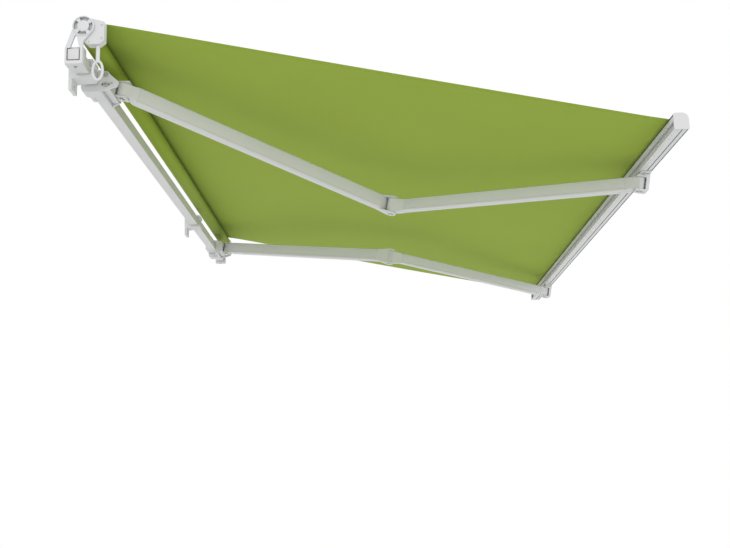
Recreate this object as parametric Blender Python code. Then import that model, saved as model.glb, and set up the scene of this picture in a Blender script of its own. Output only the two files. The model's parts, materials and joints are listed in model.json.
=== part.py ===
"""Folding-arm awning for a wall, open, with its frame and without the wall.

Metres, +Z up. X runs along the wall and the cloth leads towards -Y. The origin is the middle of
the left wall bracket's back face. Every piece hangs from an empty at the middle of the torsion
bar, and the sizes below are counted from there.
"""
import math

import bmesh
import bpy
from mathutils import Euler, Vector

for old in list(bpy.data.objects):
    bpy.data.objects.remove(old, do_unlink=True)

# Clearances
GAP = 0.0003
RUNNING_GAP = 0.001
OPEN_PIVOT_GAP = 0.0034

CUT_OVERRUN = 0.01
CAST_CHAMFER = 0.004

# Cloth and the width of the awning, which reaches past the cloth by the same amount at each end
CANOPY_WIDTH = 2.92
CANOPY_THICKNESS = 0.0012
CLOTH_INSET = 0.040

# Torsion bar
BAR_SIZE = 0.040
BAR_WALL = 0.0025
PLUG_FLANGE = 0.002
PLUG_DEPTH = 0.025

# Wall brackets
WALL_BRACKET_INSET = 0.14
SECOND_BRACKET_INSET = 0.88
WALL_BRACKET_WIDTH = 0.060
WALL_PLATE_HEIGHT = 0.138
WALL_PLATE_THICKNESS = 0.011
BAR_STANDOFF = 0.015
SHELF_THICKNESS = 0.009
LIP_THICKNESS = 0.011
LIP_RISE = 0.006
LIP_CHAMFER = 0.003
FINGER_THICKNESS = 0.009
FINGER_NOSE_DROP = 0.010
ANCHOR_HOLE_WIDTH = 0.010
ANCHOR_HOLE_LENGTH = 0.018
ANCHOR_HOLE_HEIGHT = 0.050
SCREW_RADIUS = 0.0025
SCREW_HEAD_RADIUS = 0.0045
SCREW_HEAD_HEIGHT = 0.004
SCREW_LENGTH = 0.018

# Roller
ROLLER_FORWARD = 0.028
ROLLER_RISE = 0.090
ROLLER_RADIUS = 0.027
ROLLER_WALL = 0.0015
WOUND_RADIUS = 0.030
ROLLER_PLUG_LENGTH = 0.035
DRIVE_SHAFT_RADIUS = 0.007
IDLER_PIN_RADIUS = 0.006
IDLER_PIN_SHORT = 0.004

# End brackets
END_PLATE_THICKNESS = 0.008
RING_RADIUS = 0.0325
RING_SLOT_OUTER = 0.029
RING_SLOT_INNER = 0.0183
RING_SLOT_DEGREES = 62
SOCKET_REAR_WALL = 0.006
SOCKET_FRONT_WALL = 0.008
SOCKET_FLOOR = 0.010
SOCKET_DEPTH = 0.040
SOCKET_FILLET = 0.005
SET_SCREW_INSET = 0.025
WINDOW_APEX = (-0.006, 0.040)
WINDOW_APEX_HALF_WIDTH = 0.0025
WINDOW_INSET_REAR = 0.008
WINDOW_INSET_FRONT = 0.002
FRONT_STRUT_KNEE_RISE = 0.022
FRONT_STRUT_LEAN = 0.0015

# Worm gear
GEARBOX_THICKNESS = 0.030
WHEEL_TEETH = 22
WHEEL_RADIUS = 0.0275
WHEEL_ROOT_RADIUS = 0.0245
WHEEL_WIDTH = 0.012
WORM_STARTS = 2
WORM_RADIUS = 0.013
WORM_CORE_RADIUS = 0.0095
WORM_LENGTH = 0.034
WORM_LEAD = 0.0145
GEAR_CASE_WALL = 0.0075
GEAR_CASE_FLOOR = 0.034
GEAR_CASE_LID = 0.004
GEAR_CASE_CHIN = 0.012
SHAFT_END_ROOM = 0.003
SHANK_RADIUS = 0.0062
SHANK_END_DROP = 0.020
EYE_WIRE_RADIUS = 0.0042
EYE_HALF_WIDTH = 0.0150
EYE_HALF_HEIGHT = 0.0300

# Shoulder brackets, from the bar's end and its front face
SHOULDER_INSET = 0.300
SHOULDER_REACH = 0.060
SHOULDER_DROP = 0.0055
CLAMP_OUTER_INSET = 0.200
CLAMP_WIDTH = 0.156
CLAMP_WALL = 0.012
CLAMP_TOP_WALL = 0.008
CLAMP_FLOOR = 0.024
CHEEK_THICKNESS = 0.008
CHEEK_REACH = 0.070
INNER_CHEEK_REACH = 0.040
CHEEK_NOSE_DROP = 0.014
CHEEK_CHIN = 0.006
INNER_CHEEK_DROP = 0.0285
TILT_BOLT_FORWARD = 0.028
TILT_BOLT_RISE = 0.012
TILT_BOLT_RADIUS = 0.004
TILT_EDGE = 0.012
TILT_SLOT_RADIUS = 0.034
TILT_SLOT_DEGREES = 62
TILT_HEAD_RADIUS = 0.0075
TILT_HEAD_HEIGHT = 0.005
FORK_WEB_DEPTH = 0.0225
FORK_TAPER = 0.012
TILT_BLOCK_EDGE = 0.009
LOCK_BOLT_DEPTH = 0.030
CLAMP_BEVEL = 0.014

# Arms. Both arms fold in one plane that falls away from the wall.
ARM_SLOPE = math.radians(10.89)
UPPER_ARM_LENGTH = 1.165
FOREARM_LENGTH = 1.005
UPPER_ARM_OPEN = math.radians(51.81)
ELBOW_DROOP = 0.0585
UPPER_OFFSET = 0.018
FOREARM_OFFSET = 0.016
UPPER_PROFILE = (0.034, 0.058)
FOREARM_PROFILE = (0.030, 0.050)
PROFILE_WALL = 0.0022
PROFILE_CORNER = 0.005
PROFILE_INSERT = 0.050
PLUG_OVERLAP = 0.004
PIN_RADIUS = 0.006
PIN_HEAD_RADIUS = 0.0100
PIN_HEAD_HEIGHT = 0.003
PIN_TIP = 0.002
SHOULDER_EYE_RADIUS = 0.0195
SHOULDER_EYE_HEIGHT = 0.044
SHOULDER_WAIST = 0.031
SHOULDER_NECK = 0.050
ELBOW_EYE_RADIUS = 0.019
ELBOW_EYE_HEIGHT = 0.053
ELBOW_WAIST = 0.030
ELBOW_NECK = 0.056
ELBOW_SLOT_REACH = 0.09
WRIST_EYE_RADIUS = 0.0155
WRIST_EYE_HEIGHT = 0.040
WRIST_WAIST = 0.027
WRIST_NECK = 0.046
LUG_THICKNESS = 0.0085
SPRING_RADIUS = 0.011
SPRING_LENGTH = 0.46
SPRING_COILS = 26
SPRING_VALLEY = 0.84
TENSION_ROD_RADIUS = 0.003

# Front bar, from the wrist pins
FRONT_BAR_DEPTH = 0.046
FRONT_BAR_HEIGHT = 0.052
FRONT_BAR_OVER_WRIST = 0.036
FRONT_BAR_BEHIND_WRIST = 0.007
FRONT_BAR_WALL = 0.0025
FRONT_CROWN_RISE = 0.020
FRONT_CAP_THICKNESS = 0.004
FRONT_NOSE_CHAMFER = 0.002
GROOVE_DEPTH = 0.004
GROOVES = ((0.0032, 0.0051), (0.0239, 0.0030), (0.0396, 0.0025))
HEM_ROD_RADIUS = 0.004
HEM_MOUTH = 0.0048
HEM_ROD_INSET = 0.0085
HEM_ROD_RISE = 0.044
WRIST_LUG_HALF_WIDTH = 0.018
WRIST_LUG_THICKNESS = 0.0065
WRIST_WEB = 0.011
WRIST_BASE_HALF_WIDTH = 0.036
WRIST_BASE_THICKNESS = 0.005
WRIST_SCREW_X = 0.028
WRIST_SCREW_Y = 0.0166
WRIST_BASE_INSET = 0.005
WRIST_CHAMFER = 0.006
WRIST_SCREW_LENGTH = 0.012

# Places that follow from the sizes
bar_half = BAR_SIZE / 2
half_width = CANOPY_WIDTH / 2 + CLOTH_INSET
bar_hole_half = bar_half + GAP
wall_plate_front = bar_half + BAR_STANDOFF
wall_plane = wall_plate_front + WALL_PLATE_THICKNESS
left_bracket_x = -half_width + WALL_BRACKET_INSET
right_bracket_x = half_width - SECOND_BRACKET_INSET
roller_y = -ROLLER_FORWARD
roller_z = ROLLER_RISE
worm_y = roller_y - WHEEL_RADIUS - WORM_RADIUS - GAP
gear_outer_x = -half_width + END_PLATE_THICKNESS + GAP
gear_inner_x = gear_outer_x + GEARBOX_THICKNESS
gear_middle_x = (gear_outer_x + gear_inner_x) / 2
shoulder_x = half_width - SHOULDER_INSET
shoulder_y = -bar_half - SHOULDER_REACH
shoulder_z = -SHOULDER_DROP
wrist_x = shoulder_x - (UPPER_ARM_LENGTH - FOREARM_LENGTH)
elbow_x = shoulder_x - UPPER_ARM_LENGTH * math.cos(UPPER_ARM_OPEN)
elbow_reach = UPPER_ARM_LENGTH * math.sin(UPPER_ARM_OPEN)
forearm_open = math.acos((wrist_x - elbow_x) / FOREARM_LENGTH)
wrist_reach = elbow_reach + FOREARM_LENGTH * math.sin(forearm_open)
wrist_y = shoulder_y - wrist_reach * math.cos(ARM_SLOPE)
wrist_z = shoulder_z - wrist_reach * math.sin(ARM_SLOPE)
front_back_y = wrist_y + FRONT_BAR_BEHIND_WRIST
front_bottom_z = wrist_z + FRONT_BAR_OVER_WRIST
hem_y = front_back_y - HEM_ROD_INSET
hem_z = front_bottom_z + HEM_ROD_RISE
elbow_fork_height = ELBOW_EYE_HEIGHT + 2 * (LUG_THICKNESS + RUNNING_GAP)
shoulder_fork_height = SHOULDER_EYE_HEIGHT + 2 * (LUG_THICKNESS + RUNNING_GAP)
wrist_fork_height = WRIST_EYE_HEIGHT + 2 * (WRIST_LUG_THICKNESS + RUNNING_GAP)


def finish_material(name, color, roughness, metallic):
    """A plain Principled BSDF finish."""
    material = bpy.data.materials.new(name)
    material.use_nodes = True
    shader = material.node_tree.nodes["Principled BSDF"]
    shader.inputs["Base Color"].default_value = (*color, 1.0)
    shader.inputs["Roughness"].default_value = roughness
    shader.inputs["Metallic"].default_value = metallic
    return material


def paint(name):
    """Light grey powder coat, one material for each sub-part."""
    return finish_material(name + "_paint", (0.62, 0.63, 0.60), 0.45, 0.0)


def steel(name):
    """Zinc-plated steel."""
    return finish_material(name + "_steel", (0.55, 0.55, 0.54), 0.35, 1.0)


def plastic(name):
    """Light grey moulded plastic."""
    return finish_material(name + "_plastic", (0.68, 0.68, 0.66), 0.55, 0.0)


def cloth(name):
    """Lime green awning cloth."""
    return finish_material(name + "_cloth", (0.24, 0.33, 0.05), 0.85, 0.0)


def circle(center, radius, count, start=0.0, sweep=2 * math.pi):
    """Points round a circle, or along an arc when sweep is less than a full turn."""
    full = abs(sweep) > 2 * math.pi - 1e-6
    steps = count if full else count - 1
    points = []
    for i in range(count):
        angle = start + sweep * i / steps
        points.append((center[0] + radius * math.cos(angle), center[1] + radius * math.sin(angle)))
    return points


def rectangle(low_u, low_v, high_u, high_v):
    """Four corners, counter-clockwise."""
    return [(low_u, low_v), (high_u, low_v), (high_u, high_v), (low_u, high_v)]


def rounded_rectangle(width, height, radius, steps=3):
    """A rectangle about the middle, its corners turned to a radius."""
    points = []
    for quarter, (u, v) in enumerate(((1, 1), (-1, 1), (-1, -1), (1, -1))):
        center = (u * (width / 2 - radius), v * (height / 2 - radius))
        points += circle(center, radius, steps + 1, quarter * math.pi / 2, math.pi / 2)
    return points


def curved_slot(center, radius, half_width, middle, sweep):
    """A slot that follows an arc, with square ends."""
    outer = circle(center, radius + half_width, 9, middle - sweep / 2, sweep)
    inner = circle(center, radius - half_width, 9, middle + sweep / 2, -sweep)
    return outer + inner


def loop(outline, along, axis):
    """An outline as 3-D points, on a plane across the axis."""
    if axis == "X":
        return [(along, u, v) for u, v in outline]
    return [(u, v, along) for u, v in outline]


def loft(sections):
    """A closed solid through loops of equal count."""
    bm = bmesh.new()
    rings = [[bm.verts.new(point) for point in section] for section in sections]
    count = len(rings[0])
    for low, high in zip(rings, rings[1:]):
        for i in range(count):
            j = (i + 1) % count
            bm.faces.new((low[i], low[j], high[j], high[i]))
    bm.faces.new(rings[0])
    bm.faces.new(rings[-1])
    return bm


def prism(outline, start, end, axis="X"):
    """An outline drawn out along an axis."""
    return loft([loop(outline, start, axis), loop(outline, end, axis)])


def hollow_prism(outer, inner, start, end, axis="X"):
    """A tube between two outlines of equal count."""
    bm = bmesh.new()
    outlines = ((outer, start), (outer, end), (inner, end), (inner, start))
    rings = [[bm.verts.new(point) for point in loop(o, along, axis)] for o, along in outlines]
    count = len(outer)
    for ring, following in zip(rings, rings[1:] + rings[:1]):
        for i in range(count):
            j = (i + 1) % count
            bm.faces.new((ring[i], ring[j], following[j], following[i]))
    return bm


def turned(stations, center=(0.0, 0.0), axis="Z", count=20):
    """A turned solid through (place along the axis, radius) stations."""
    return loft([loop(circle(center, radius, count), along, axis) for along, radius in stations])


def hull(points):
    """The tight convex skin round a set of points."""
    bm = bmesh.new()
    for point in points:
        bm.verts.new(point)
    result = bmesh.ops.convex_hull(bm, input=bm.verts[:])
    unused = set(result["geom_interior"]) | set(result["geom_unused"])
    bmesh.ops.delete(bm, geom=[v for v in unused if isinstance(v, bmesh.types.BMVert)], context="VERTS")
    return bm


def closed_sweep(path, radius, count):
    """A round wire along a closed path in the YZ plane."""
    bm = bmesh.new()
    rings = []
    for i, here in enumerate(path):
        ahead = Vector(path[(i + 1) % len(path)]) - Vector(path[i - 1])
        outward = Vector((0.0, ahead.z, -ahead.y)).normalized()
        ring = []
        for u, v in circle((0.0, 0.0), radius, count):
            ring.append(bm.verts.new(Vector(here) + outward * u + Vector((v, 0.0, 0.0))))
        rings.append(ring)
    for ring, following in zip(rings, rings[1:] + rings[:1]):
        for i in range(count):
            j = (i + 1) % count
            bm.faces.new((ring[i], ring[j], following[j], following[i]))
    return bm


def piece(name, bm, material, parent, location=(0, 0, 0), rotation=(0, 0, 0)):
    """A named object from a bmesh, placed under its parent."""
    bmesh.ops.recalc_face_normals(bm, faces=bm.faces[:])
    mesh = bpy.data.meshes.new(name)
    bm.to_mesh(mesh)
    bm.free()
    mesh.shade_smooth()
    mesh.set_sharp_from_angle(angle=math.radians(35))
    obj = bpy.data.objects.new(name, mesh)
    obj.location = location
    obj.rotation_euler = rotation
    obj.parent = parent
    if material is not None:
        mesh.materials.append(material)
    bpy.context.scene.collection.objects.link(obj)
    return obj


def tool(name, bm, parent, location=(0, 0, 0), rotation=(0, 0, 0)):
    """A hidden shape that cuts or joins other pieces."""
    obj = piece(name, bm, None, parent, location, rotation)
    obj.hide_render = True
    obj.display_type = "WIRE"
    return obj


def frame_at(name, parent, location, rotation=(0, 0, 0)):
    """An empty that carries other pieces."""
    empty = bpy.data.objects.new(name, None)
    empty.location = location
    empty.rotation_euler = rotation
    empty.parent = parent
    bpy.context.scene.collection.objects.link(empty)
    return empty


def boolean(target, other, operation):
    """One exact Boolean on a piece."""
    modifier = target.modifiers.new(other.name, "BOOLEAN")
    modifier.operation = operation
    modifier.object = other


def cut(target, *others):
    for other in others:
        boolean(target, other, "DIFFERENCE")


def join(target, *others):
    for other in others:
        boolean(target, other, "UNION")


awning = frame_at("awning", None, (-left_bracket_x, -wall_plane, 0.0))
sides = (("left", -1), ("right", 1))


# Torsion bar and its end plugs
bar_outer = rectangle(-bar_half, -bar_half, bar_half, bar_half)
bar_inner_half = bar_half - BAR_WALL
bar_inner = rectangle(-bar_inner_half, -bar_inner_half, bar_inner_half, bar_inner_half)
bar_end_x = half_width - PLUG_FLANGE - GAP
bar_tube = hollow_prism(bar_outer, bar_inner, -bar_end_x, bar_end_x)
piece("torsion_bar", bar_tube, paint("torsion_bar"), awning)
plug_half = bar_inner_half - GAP
plug_body = rectangle(-plug_half, -plug_half, plug_half, plug_half)
for side, sign in sides:
    flange_inner = sign * (half_width - PLUG_FLANGE)
    plug_sections = [
        loop(bar_outer, sign * half_width, "X"),
        loop(bar_outer, flange_inner, "X"),
        loop(plug_body, flange_inner, "X"),
        loop(plug_body, sign * (half_width - PLUG_DEPTH), "X"),
    ]
    piece("bar_plug_" + side, loft(plug_sections), plastic("bar_plug_" + side), awning)
hole_outline = rectangle(-bar_hole_half, -bar_hole_half, bar_hole_half, bar_hole_half)
hole_end = half_width + CUT_OVERRUN
bar_hole = tool("bar_hole", prism(hole_outline, -hole_end, hole_end), awning)


# Wall brackets: a plate on the wall and a shelf with a lip under the bar, closed by a finger on top
shelf_bottom = -bar_hole_half - SHELF_THICKNESS
lip_front = -bar_hole_half - LIP_THICKNESS
plate_half = WALL_PLATE_HEIGHT / 2
wall_bracket_outline = [
    (wall_plane, -plate_half),
    (wall_plane, plate_half),
    (wall_plate_front, plate_half),
    (wall_plate_front, bar_hole_half),
    (bar_hole_half, bar_hole_half),
    (bar_hole_half, -bar_hole_half),
    (-bar_hole_half, -bar_hole_half),
    (-bar_hole_half, -bar_hole_half + LIP_RISE),
    (lip_front + LIP_CHAMFER, -bar_hole_half + LIP_RISE),
    (lip_front, -bar_hole_half + LIP_RISE - LIP_CHAMFER),
    (lip_front, shelf_bottom + CAST_CHAMFER),
    (lip_front + CAST_CHAMFER, shelf_bottom),
    (wall_plate_front, shelf_bottom - SHELF_THICKNESS / 2),
    (wall_plate_front, -plate_half),
]
finger_bottom = bar_hole_half + GAP
finger_top = finger_bottom + FINGER_THICKNESS
finger_outline = [
    (wall_plate_front - GAP, finger_bottom),
    (wall_plate_front - GAP, finger_top),
    (lip_front + CAST_CHAMFER, finger_top),
    (lip_front, finger_top - CAST_CHAMFER),
    (lip_front, finger_bottom - FINGER_NOSE_DROP + LIP_CHAMFER),
    (lip_front + LIP_CHAMFER, finger_bottom - FINGER_NOSE_DROP),
    (-bar_hole_half, finger_bottom - FINGER_NOSE_DROP),
    (-bar_hole_half, finger_bottom),
]
clamp_screw_y = (bar_hole_half + wall_plate_front) / 2
for side, middle in (("left", left_bracket_x), ("right", right_bracket_x)):
    low = middle - WALL_BRACKET_WIDTH / 2
    high = middle + WALL_BRACKET_WIDTH / 2
    plate = prism(wall_bracket_outline, low, high)
    bracket = piece("wall_bracket_" + side, plate, paint("wall_bracket_" + side), awning)
    finger = piece("bar_clamp_" + side, prism(finger_outline, low, high), paint("bar_clamp_" + side), awning)
    center = (middle, clamp_screw_y)
    hole_outline = circle(center, SCREW_RADIUS + GAP, 12)
    hole = prism(hole_outline, finger_bottom - SCREW_LENGTH, finger_top + CUT_OVERRUN, "Z")
    hole_tool = tool("clamp_screw_hole_" + side, hole, awning)
    cut(bracket, hole_tool)
    cut(finger, hole_tool)
    stations = [
        (finger_bottom - SCREW_LENGTH + RUNNING_GAP, SCREW_RADIUS),
        (finger_top + GAP, SCREW_RADIUS),
        (finger_top + GAP, SCREW_HEAD_RADIUS),
        (finger_top + GAP + SCREW_HEAD_HEIGHT, SCREW_HEAD_RADIUS),
    ]
    piece("clamp_screw_" + side, turned(stations, center, count=12), steel("clamp_screw_" + side), awning)
    for height in (-ANCHOR_HOLE_HEIGHT, ANCHOR_HOLE_HEIGHT):
        half_straight = (ANCHOR_HOLE_LENGTH - ANCHOR_HOLE_WIDTH) / 2
        radius = ANCHOR_HOLE_WIDTH / 2
        outline = circle((middle, half_straight), radius, 8, 0, math.pi)
        outline += circle((middle, -half_straight), radius, 8, math.pi, math.pi)
        slot_ends = (wall_plate_front - CUT_OVERRUN, wall_plane + CUT_OVERRUN)
        slot = [[(x, y, z + height) for x, z in outline] for y in slot_ends]
        cut(bracket, tool("anchor_slot_" + side, loft(slot), awning))


# End brackets: ring, two struts and a socket over the bar's end
def end_plate_outline():
    ring = circle((roller_y, roller_z), RING_RADIUS, 18, math.radians(-12), math.radians(240))
    socket_front = -bar_hole_half - SOCKET_FRONT_WALL
    socket_rear = bar_hole_half + SOCKET_REAR_WALL
    socket_bottom = -bar_hole_half - SOCKET_FLOOR
    return ring + [
        (socket_front - FRONT_STRUT_LEAN, bar_half + FRONT_STRUT_KNEE_RISE),
        (socket_front, bar_half + FRONT_STRUT_KNEE_RISE / 2),
        (socket_front, socket_bottom + SOCKET_FILLET),
        (socket_front + SOCKET_FILLET, socket_bottom),
        (socket_rear - SOCKET_FILLET, socket_bottom),
        (socket_rear, socket_bottom + SOCKET_FILLET),
        (socket_rear, bar_half),
    ]


slot_middle = (RING_SLOT_OUTER + RING_SLOT_INNER) / 2
slot_half = (RING_SLOT_OUTER - RING_SLOT_INNER) / 2
window_outline = [
    (bar_half - WINDOW_INSET_REAR, bar_half - BAR_WALL),
    (WINDOW_APEX[0] + WINDOW_APEX_HALF_WIDTH, bar_half + WINDOW_APEX[1]),
    (WINDOW_APEX[0] - WINDOW_APEX_HALF_WIDTH, bar_half + WINDOW_APEX[1]),
    (-bar_half + WINDOW_INSET_FRONT, bar_half - BAR_WALL),
]
for side, sign in sides:
    outer_x = sign * half_width
    inner_x = sign * (half_width - END_PLATE_THICKNESS)
    bracket = piece(
        "end_bracket_" + side,
        prism(end_plate_outline(), outer_x, inner_x),
        paint("end_bracket_" + side),
        awning,
    )
    sleeve = rectangle(
        -bar_hole_half - SOCKET_FRONT_WALL,
        -bar_hole_half - SOCKET_FLOOR,
        bar_hole_half + SOCKET_REAR_WALL,
        bar_hole_half + SOCKET_REAR_WALL,
    )
    sleeve_start = sign * (half_width - END_PLATE_THICKNESS / 2)
    sleeve_end = sign * (half_width - SOCKET_DEPTH)
    join(bracket, tool("sleeve_" + side, prism(sleeve, sleeve_start, sleeve_end), awning))
    cut(bracket, bar_hole)
    beyond = (outer_x + sign * CUT_OVERRUN, inner_x - sign * CUT_OVERRUN / 5)
    cut(bracket, tool("window_" + side, prism(window_outline, *beyond), awning))
    for quarter in range(4):
        slot = curved_slot(
            (roller_y, roller_z),
            slot_middle,
            slot_half,
            math.radians(8 + 90 * quarter),
            math.radians(RING_SLOT_DEGREES),
        )
        cut(bracket, tool("ring_slot_" + side, prism(slot, *beyond), awning))
    screw_seat = -bar_hole_half - SOCKET_FLOOR
    center = (sign * (half_width - SET_SCREW_INSET), 0.0)
    hole = prism(circle(center, SCREW_RADIUS + GAP, 12), screw_seat - CUT_OVERRUN, 0.0, "Z")
    cut(bracket, tool("set_screw_hole_" + side, hole, awning))
    stations = [
        (screw_seat - GAP - SCREW_HEAD_HEIGHT, SCREW_HEAD_RADIUS),
        (screw_seat - GAP, SCREW_HEAD_RADIUS),
        (screw_seat - GAP, SCREW_RADIUS),
        (-bar_half - GAP, SCREW_RADIUS),
    ]
    piece("bracket_screw_" + side, turned(stations, center, count=12), steel("bracket_screw_" + side), awning)
    if side == "right":
        idler_hole = prism(circle((roller_y, roller_z), IDLER_PIN_RADIUS + GAP, 16), *beyond)
        cut(bracket, tool("idler_hole", idler_hole, awning))


# Worm gear case in two halves, split across the worm
case_ring = circle((roller_y, roller_z), RING_RADIUS, 20)
case_front = worm_y - WORM_RADIUS - RUNNING_GAP - GEAR_CASE_WALL
case_top = roller_z + WORM_LENGTH / 2 - RUNNING_GAP
case_points = case_ring + [
    (case_front, case_top),
    (case_front, GEAR_CASE_FLOOR + GEAR_CASE_CHIN),
    (worm_y - GEAR_CASE_CHIN / 2, GEAR_CASE_FLOOR),
    (roller_y - GEAR_CASE_CHIN, GEAR_CASE_FLOOR),
]


def convex_outline(points):
    """The corners of the convex outline round flat points, in order."""
    ordered = sorted(points)

    def half(chain_points):
        chain = []
        for point in chain_points:
            while len(chain) > 1:
                (a, b), (c, d) = chain[-2], chain[-1]
                if (c - a) * (point[1] - b) - (d - b) * (point[0] - a) > 0:
                    break
                chain.pop()
            chain.append(point)
        return chain[:-1]

    return half(ordered) + half(ordered[::-1])


case_outline = convex_outline(case_points)
wheel_center = (roller_y, roller_z)
wheel_room = WHEEL_WIDTH / 2 + RUNNING_GAP
wheel_room_outline = circle(wheel_center, WHEEL_RADIUS + RUNNING_GAP, 32)
wheel_space = prism(wheel_room_outline, gear_middle_x - wheel_room, gear_middle_x + wheel_room)
wheel_cavity = tool("wheel_cavity", wheel_space, awning)
worm_center = (gear_middle_x, worm_y)
worm_bottom = roller_z - WORM_LENGTH / 2 - RUNNING_GAP
worm_top = case_top - GEAR_CASE_LID
worm_space = prism(circle(worm_center, WORM_RADIUS + RUNNING_GAP / 2, 20), worm_bottom, worm_top, "Z")
worm_cavity = tool("worm_cavity", worm_space, awning)
shank_space = prism(circle(worm_center, SHANK_RADIUS + GAP, 16), GEAR_CASE_FLOOR - CUT_OVERRUN, roller_z, "Z")
shank_hole = tool("shank_hole", shank_space, awning)
shaft_end = gear_outer_x + SHAFT_END_ROOM
shaft_outline = circle(wheel_center, DRIVE_SHAFT_RADIUS + GAP, 20)
shaft_hole = tool("shaft_hole", prism(shaft_outline, shaft_end - GAP, gear_inner_x + CUT_OVERRUN), awning)
for name, low, high in (
    ("gearbox_housing", gear_outer_x, gear_middle_x - GAP / 2),
    ("gearbox_cover", gear_middle_x + GAP / 2, gear_inner_x),
):
    half_case = piece(name, prism(case_outline, low, high), plastic(name), awning)
    cut(half_case, wheel_cavity, worm_cavity, shank_hole, shaft_hole)


# Roller: tube, drive plug with the worm wheel, idler plug with its pin, and the turns of cloth
roller = frame_at("roller_axis", awning, (0.0, roller_y, roller_z))
roller_low = gear_inner_x + RUNNING_GAP
roller_high = half_width - END_PLATE_THICKNESS - RUNNING_GAP
tube_outer = circle((0, 0), ROLLER_RADIUS, 24)
tube_inner = circle((0, 0), ROLLER_RADIUS - ROLLER_WALL, 24)
tube = hollow_prism(tube_outer, tube_inner, roller_low, roller_high)
piece("roller_tube", tube, steel("roller_tube"), roller)
plug_radius = ROLLER_RADIUS - ROLLER_WALL - GAP
drive_stations = [
    (shaft_end, DRIVE_SHAFT_RADIUS),
    (roller_low, DRIVE_SHAFT_RADIUS),
    (roller_low, plug_radius),
    (roller_low + ROLLER_PLUG_LENGTH, plug_radius),
]
piece("drive_plug", turned(drive_stations, axis="X"), plastic("drive_plug"), roller)
tooth_outline = []
tooth = ((0.10, WHEEL_ROOT_RADIUS), (0.40, WHEEL_ROOT_RADIUS), (0.60, WHEEL_RADIUS), (0.90, WHEEL_RADIUS))
for i in range(WHEEL_TEETH):
    for share, radius in tooth:
        tooth_outline += circle((0, 0), radius, 1, 2 * math.pi * (i + share) / WHEEL_TEETH)
wheel_bore = circle((0, 0), DRIVE_SHAFT_RADIUS + GAP, 4 * WHEEL_TEETH)
wheel_low = gear_middle_x - WHEEL_WIDTH / 2
wheel = hollow_prism(tooth_outline, wheel_bore, wheel_low, wheel_low + WHEEL_WIDTH)
piece("worm_wheel", wheel, steel("worm_wheel"), roller)
idler_bore = circle((0, 0), IDLER_PIN_RADIUS + GAP, 20)
idler_body = circle((0, 0), plug_radius, 20)
idler_plug = hollow_prism(idler_body, idler_bore, roller_high - ROLLER_PLUG_LENGTH, roller_high)
piece("idler_plug", idler_plug, plastic("idler_plug"), roller)
idler_stations = [
    (half_width + PIN_HEAD_HEIGHT, PIN_HEAD_RADIUS),
    (half_width + GAP, PIN_HEAD_RADIUS),
    (half_width + GAP, IDLER_PIN_RADIUS),
    (roller_high - ROLLER_PLUG_LENGTH + IDLER_PIN_SHORT, IDLER_PIN_RADIUS),
]
piece("idler_pin", turned(idler_stations, axis="X"), steel("idler_pin"), roller)
wound_outer = circle((0, 0), WOUND_RADIUS, 32)
wound_inner = circle((0, 0), ROLLER_RADIUS + GAP, 32)
wound_half = CANOPY_WIDTH / 2
turns = hollow_prism(wound_outer, wound_inner, -wound_half, wound_half)
piece("wound_fabric", turns, cloth("wound_fabric"), roller)


# Crank shaft: worm, shank and hook eye in one
crank = frame_at("crank_axis", awning, (gear_middle_x, worm_y, 0.0))
worm_low = roller_z - WORM_LENGTH / 2
worm_high = worm_top - GAP
thread_steps = 28
thread_middle = (WORM_RADIUS + WORM_CORE_RADIUS) / 2
thread_depth = (WORM_RADIUS - WORM_CORE_RADIUS) / 2
sections = [loop(circle((0, 0), SHANK_RADIUS, 16), z, "Z") for z in (-SHANK_END_DROP, worm_low)]
for step in range(thread_steps + 1):
    z = worm_low + (worm_high - worm_low) * step / thread_steps
    ring = []
    for u, v in circle((0, 0), 1.0, 16):
        phase = WORM_STARTS * math.atan2(v, u) - 2 * math.pi * z / WORM_LEAD * WORM_STARTS
        radius = thread_middle + thread_depth * math.cos(phase)
        ring.append((radius * u, radius * v, z))
    sections.append(ring)
crank_worm = piece("crank_worm", loft(sections), steel("crank_worm"), crank)
eye_middle = -SHANK_END_DROP - EYE_HALF_HEIGHT + EYE_WIRE_RADIUS
eye_path = []
for u, v in circle((0, 0), 1.0, 24):
    eye_path.append((0.0, EYE_HALF_WIDTH * u, eye_middle + EYE_HALF_HEIGHT * v))
join(crank_worm, tool("crank_eye", closed_sweep(eye_path, EYE_WIRE_RADIUS, 10), crank))


# Shoulder brackets: a sleeve on the bar with two cheeks, a tilt block between them, and its bolts
arm_plane = frame_at("arm_plane", awning, (0.0, shoulder_y, shoulder_z), (ARM_SLOPE, 0.0, 0.0))
bar_front = -bar_half
tilt_bolt = (bar_front - TILT_BOLT_FORWARD, TILT_BOLT_RISE)
clamp_front = -bar_hole_half - CLAMP_WALL
clamp_rear = bar_hole_half + CLAMP_WALL
clamp_top = bar_hole_half + CLAMP_TOP_WALL
clamp_bottom = -bar_hole_half - CLAMP_FLOOR
cheek_root = clamp_front + CAST_CHAMFER
clamp_outline = [
    (clamp_rear, clamp_top - CAST_CHAMFER),
    (clamp_rear - CAST_CHAMFER, clamp_top),
    (clamp_front, clamp_top),
    (clamp_front, clamp_bottom),
    (clamp_rear - CLAMP_BEVEL, clamp_bottom),
    (clamp_rear - CAST_CHAMFER, clamp_bottom + CAST_CHAMFER),
    (clamp_rear, clamp_bottom + CLAMP_BEVEL),
]
cheek_outline = circle(tilt_bolt, TILT_EDGE, 7, math.radians(90), math.radians(75)) + [
    (bar_front - CHEEK_REACH, -CHEEK_NOSE_DROP),
    (bar_front - CHEEK_REACH + CHEEK_CHIN, -INNER_CHEEK_DROP),
    (cheek_root, clamp_bottom),
    (cheek_root, tilt_bolt[1] + TILT_EDGE),
]
inner_front = bar_front - INNER_CHEEK_REACH
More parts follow.
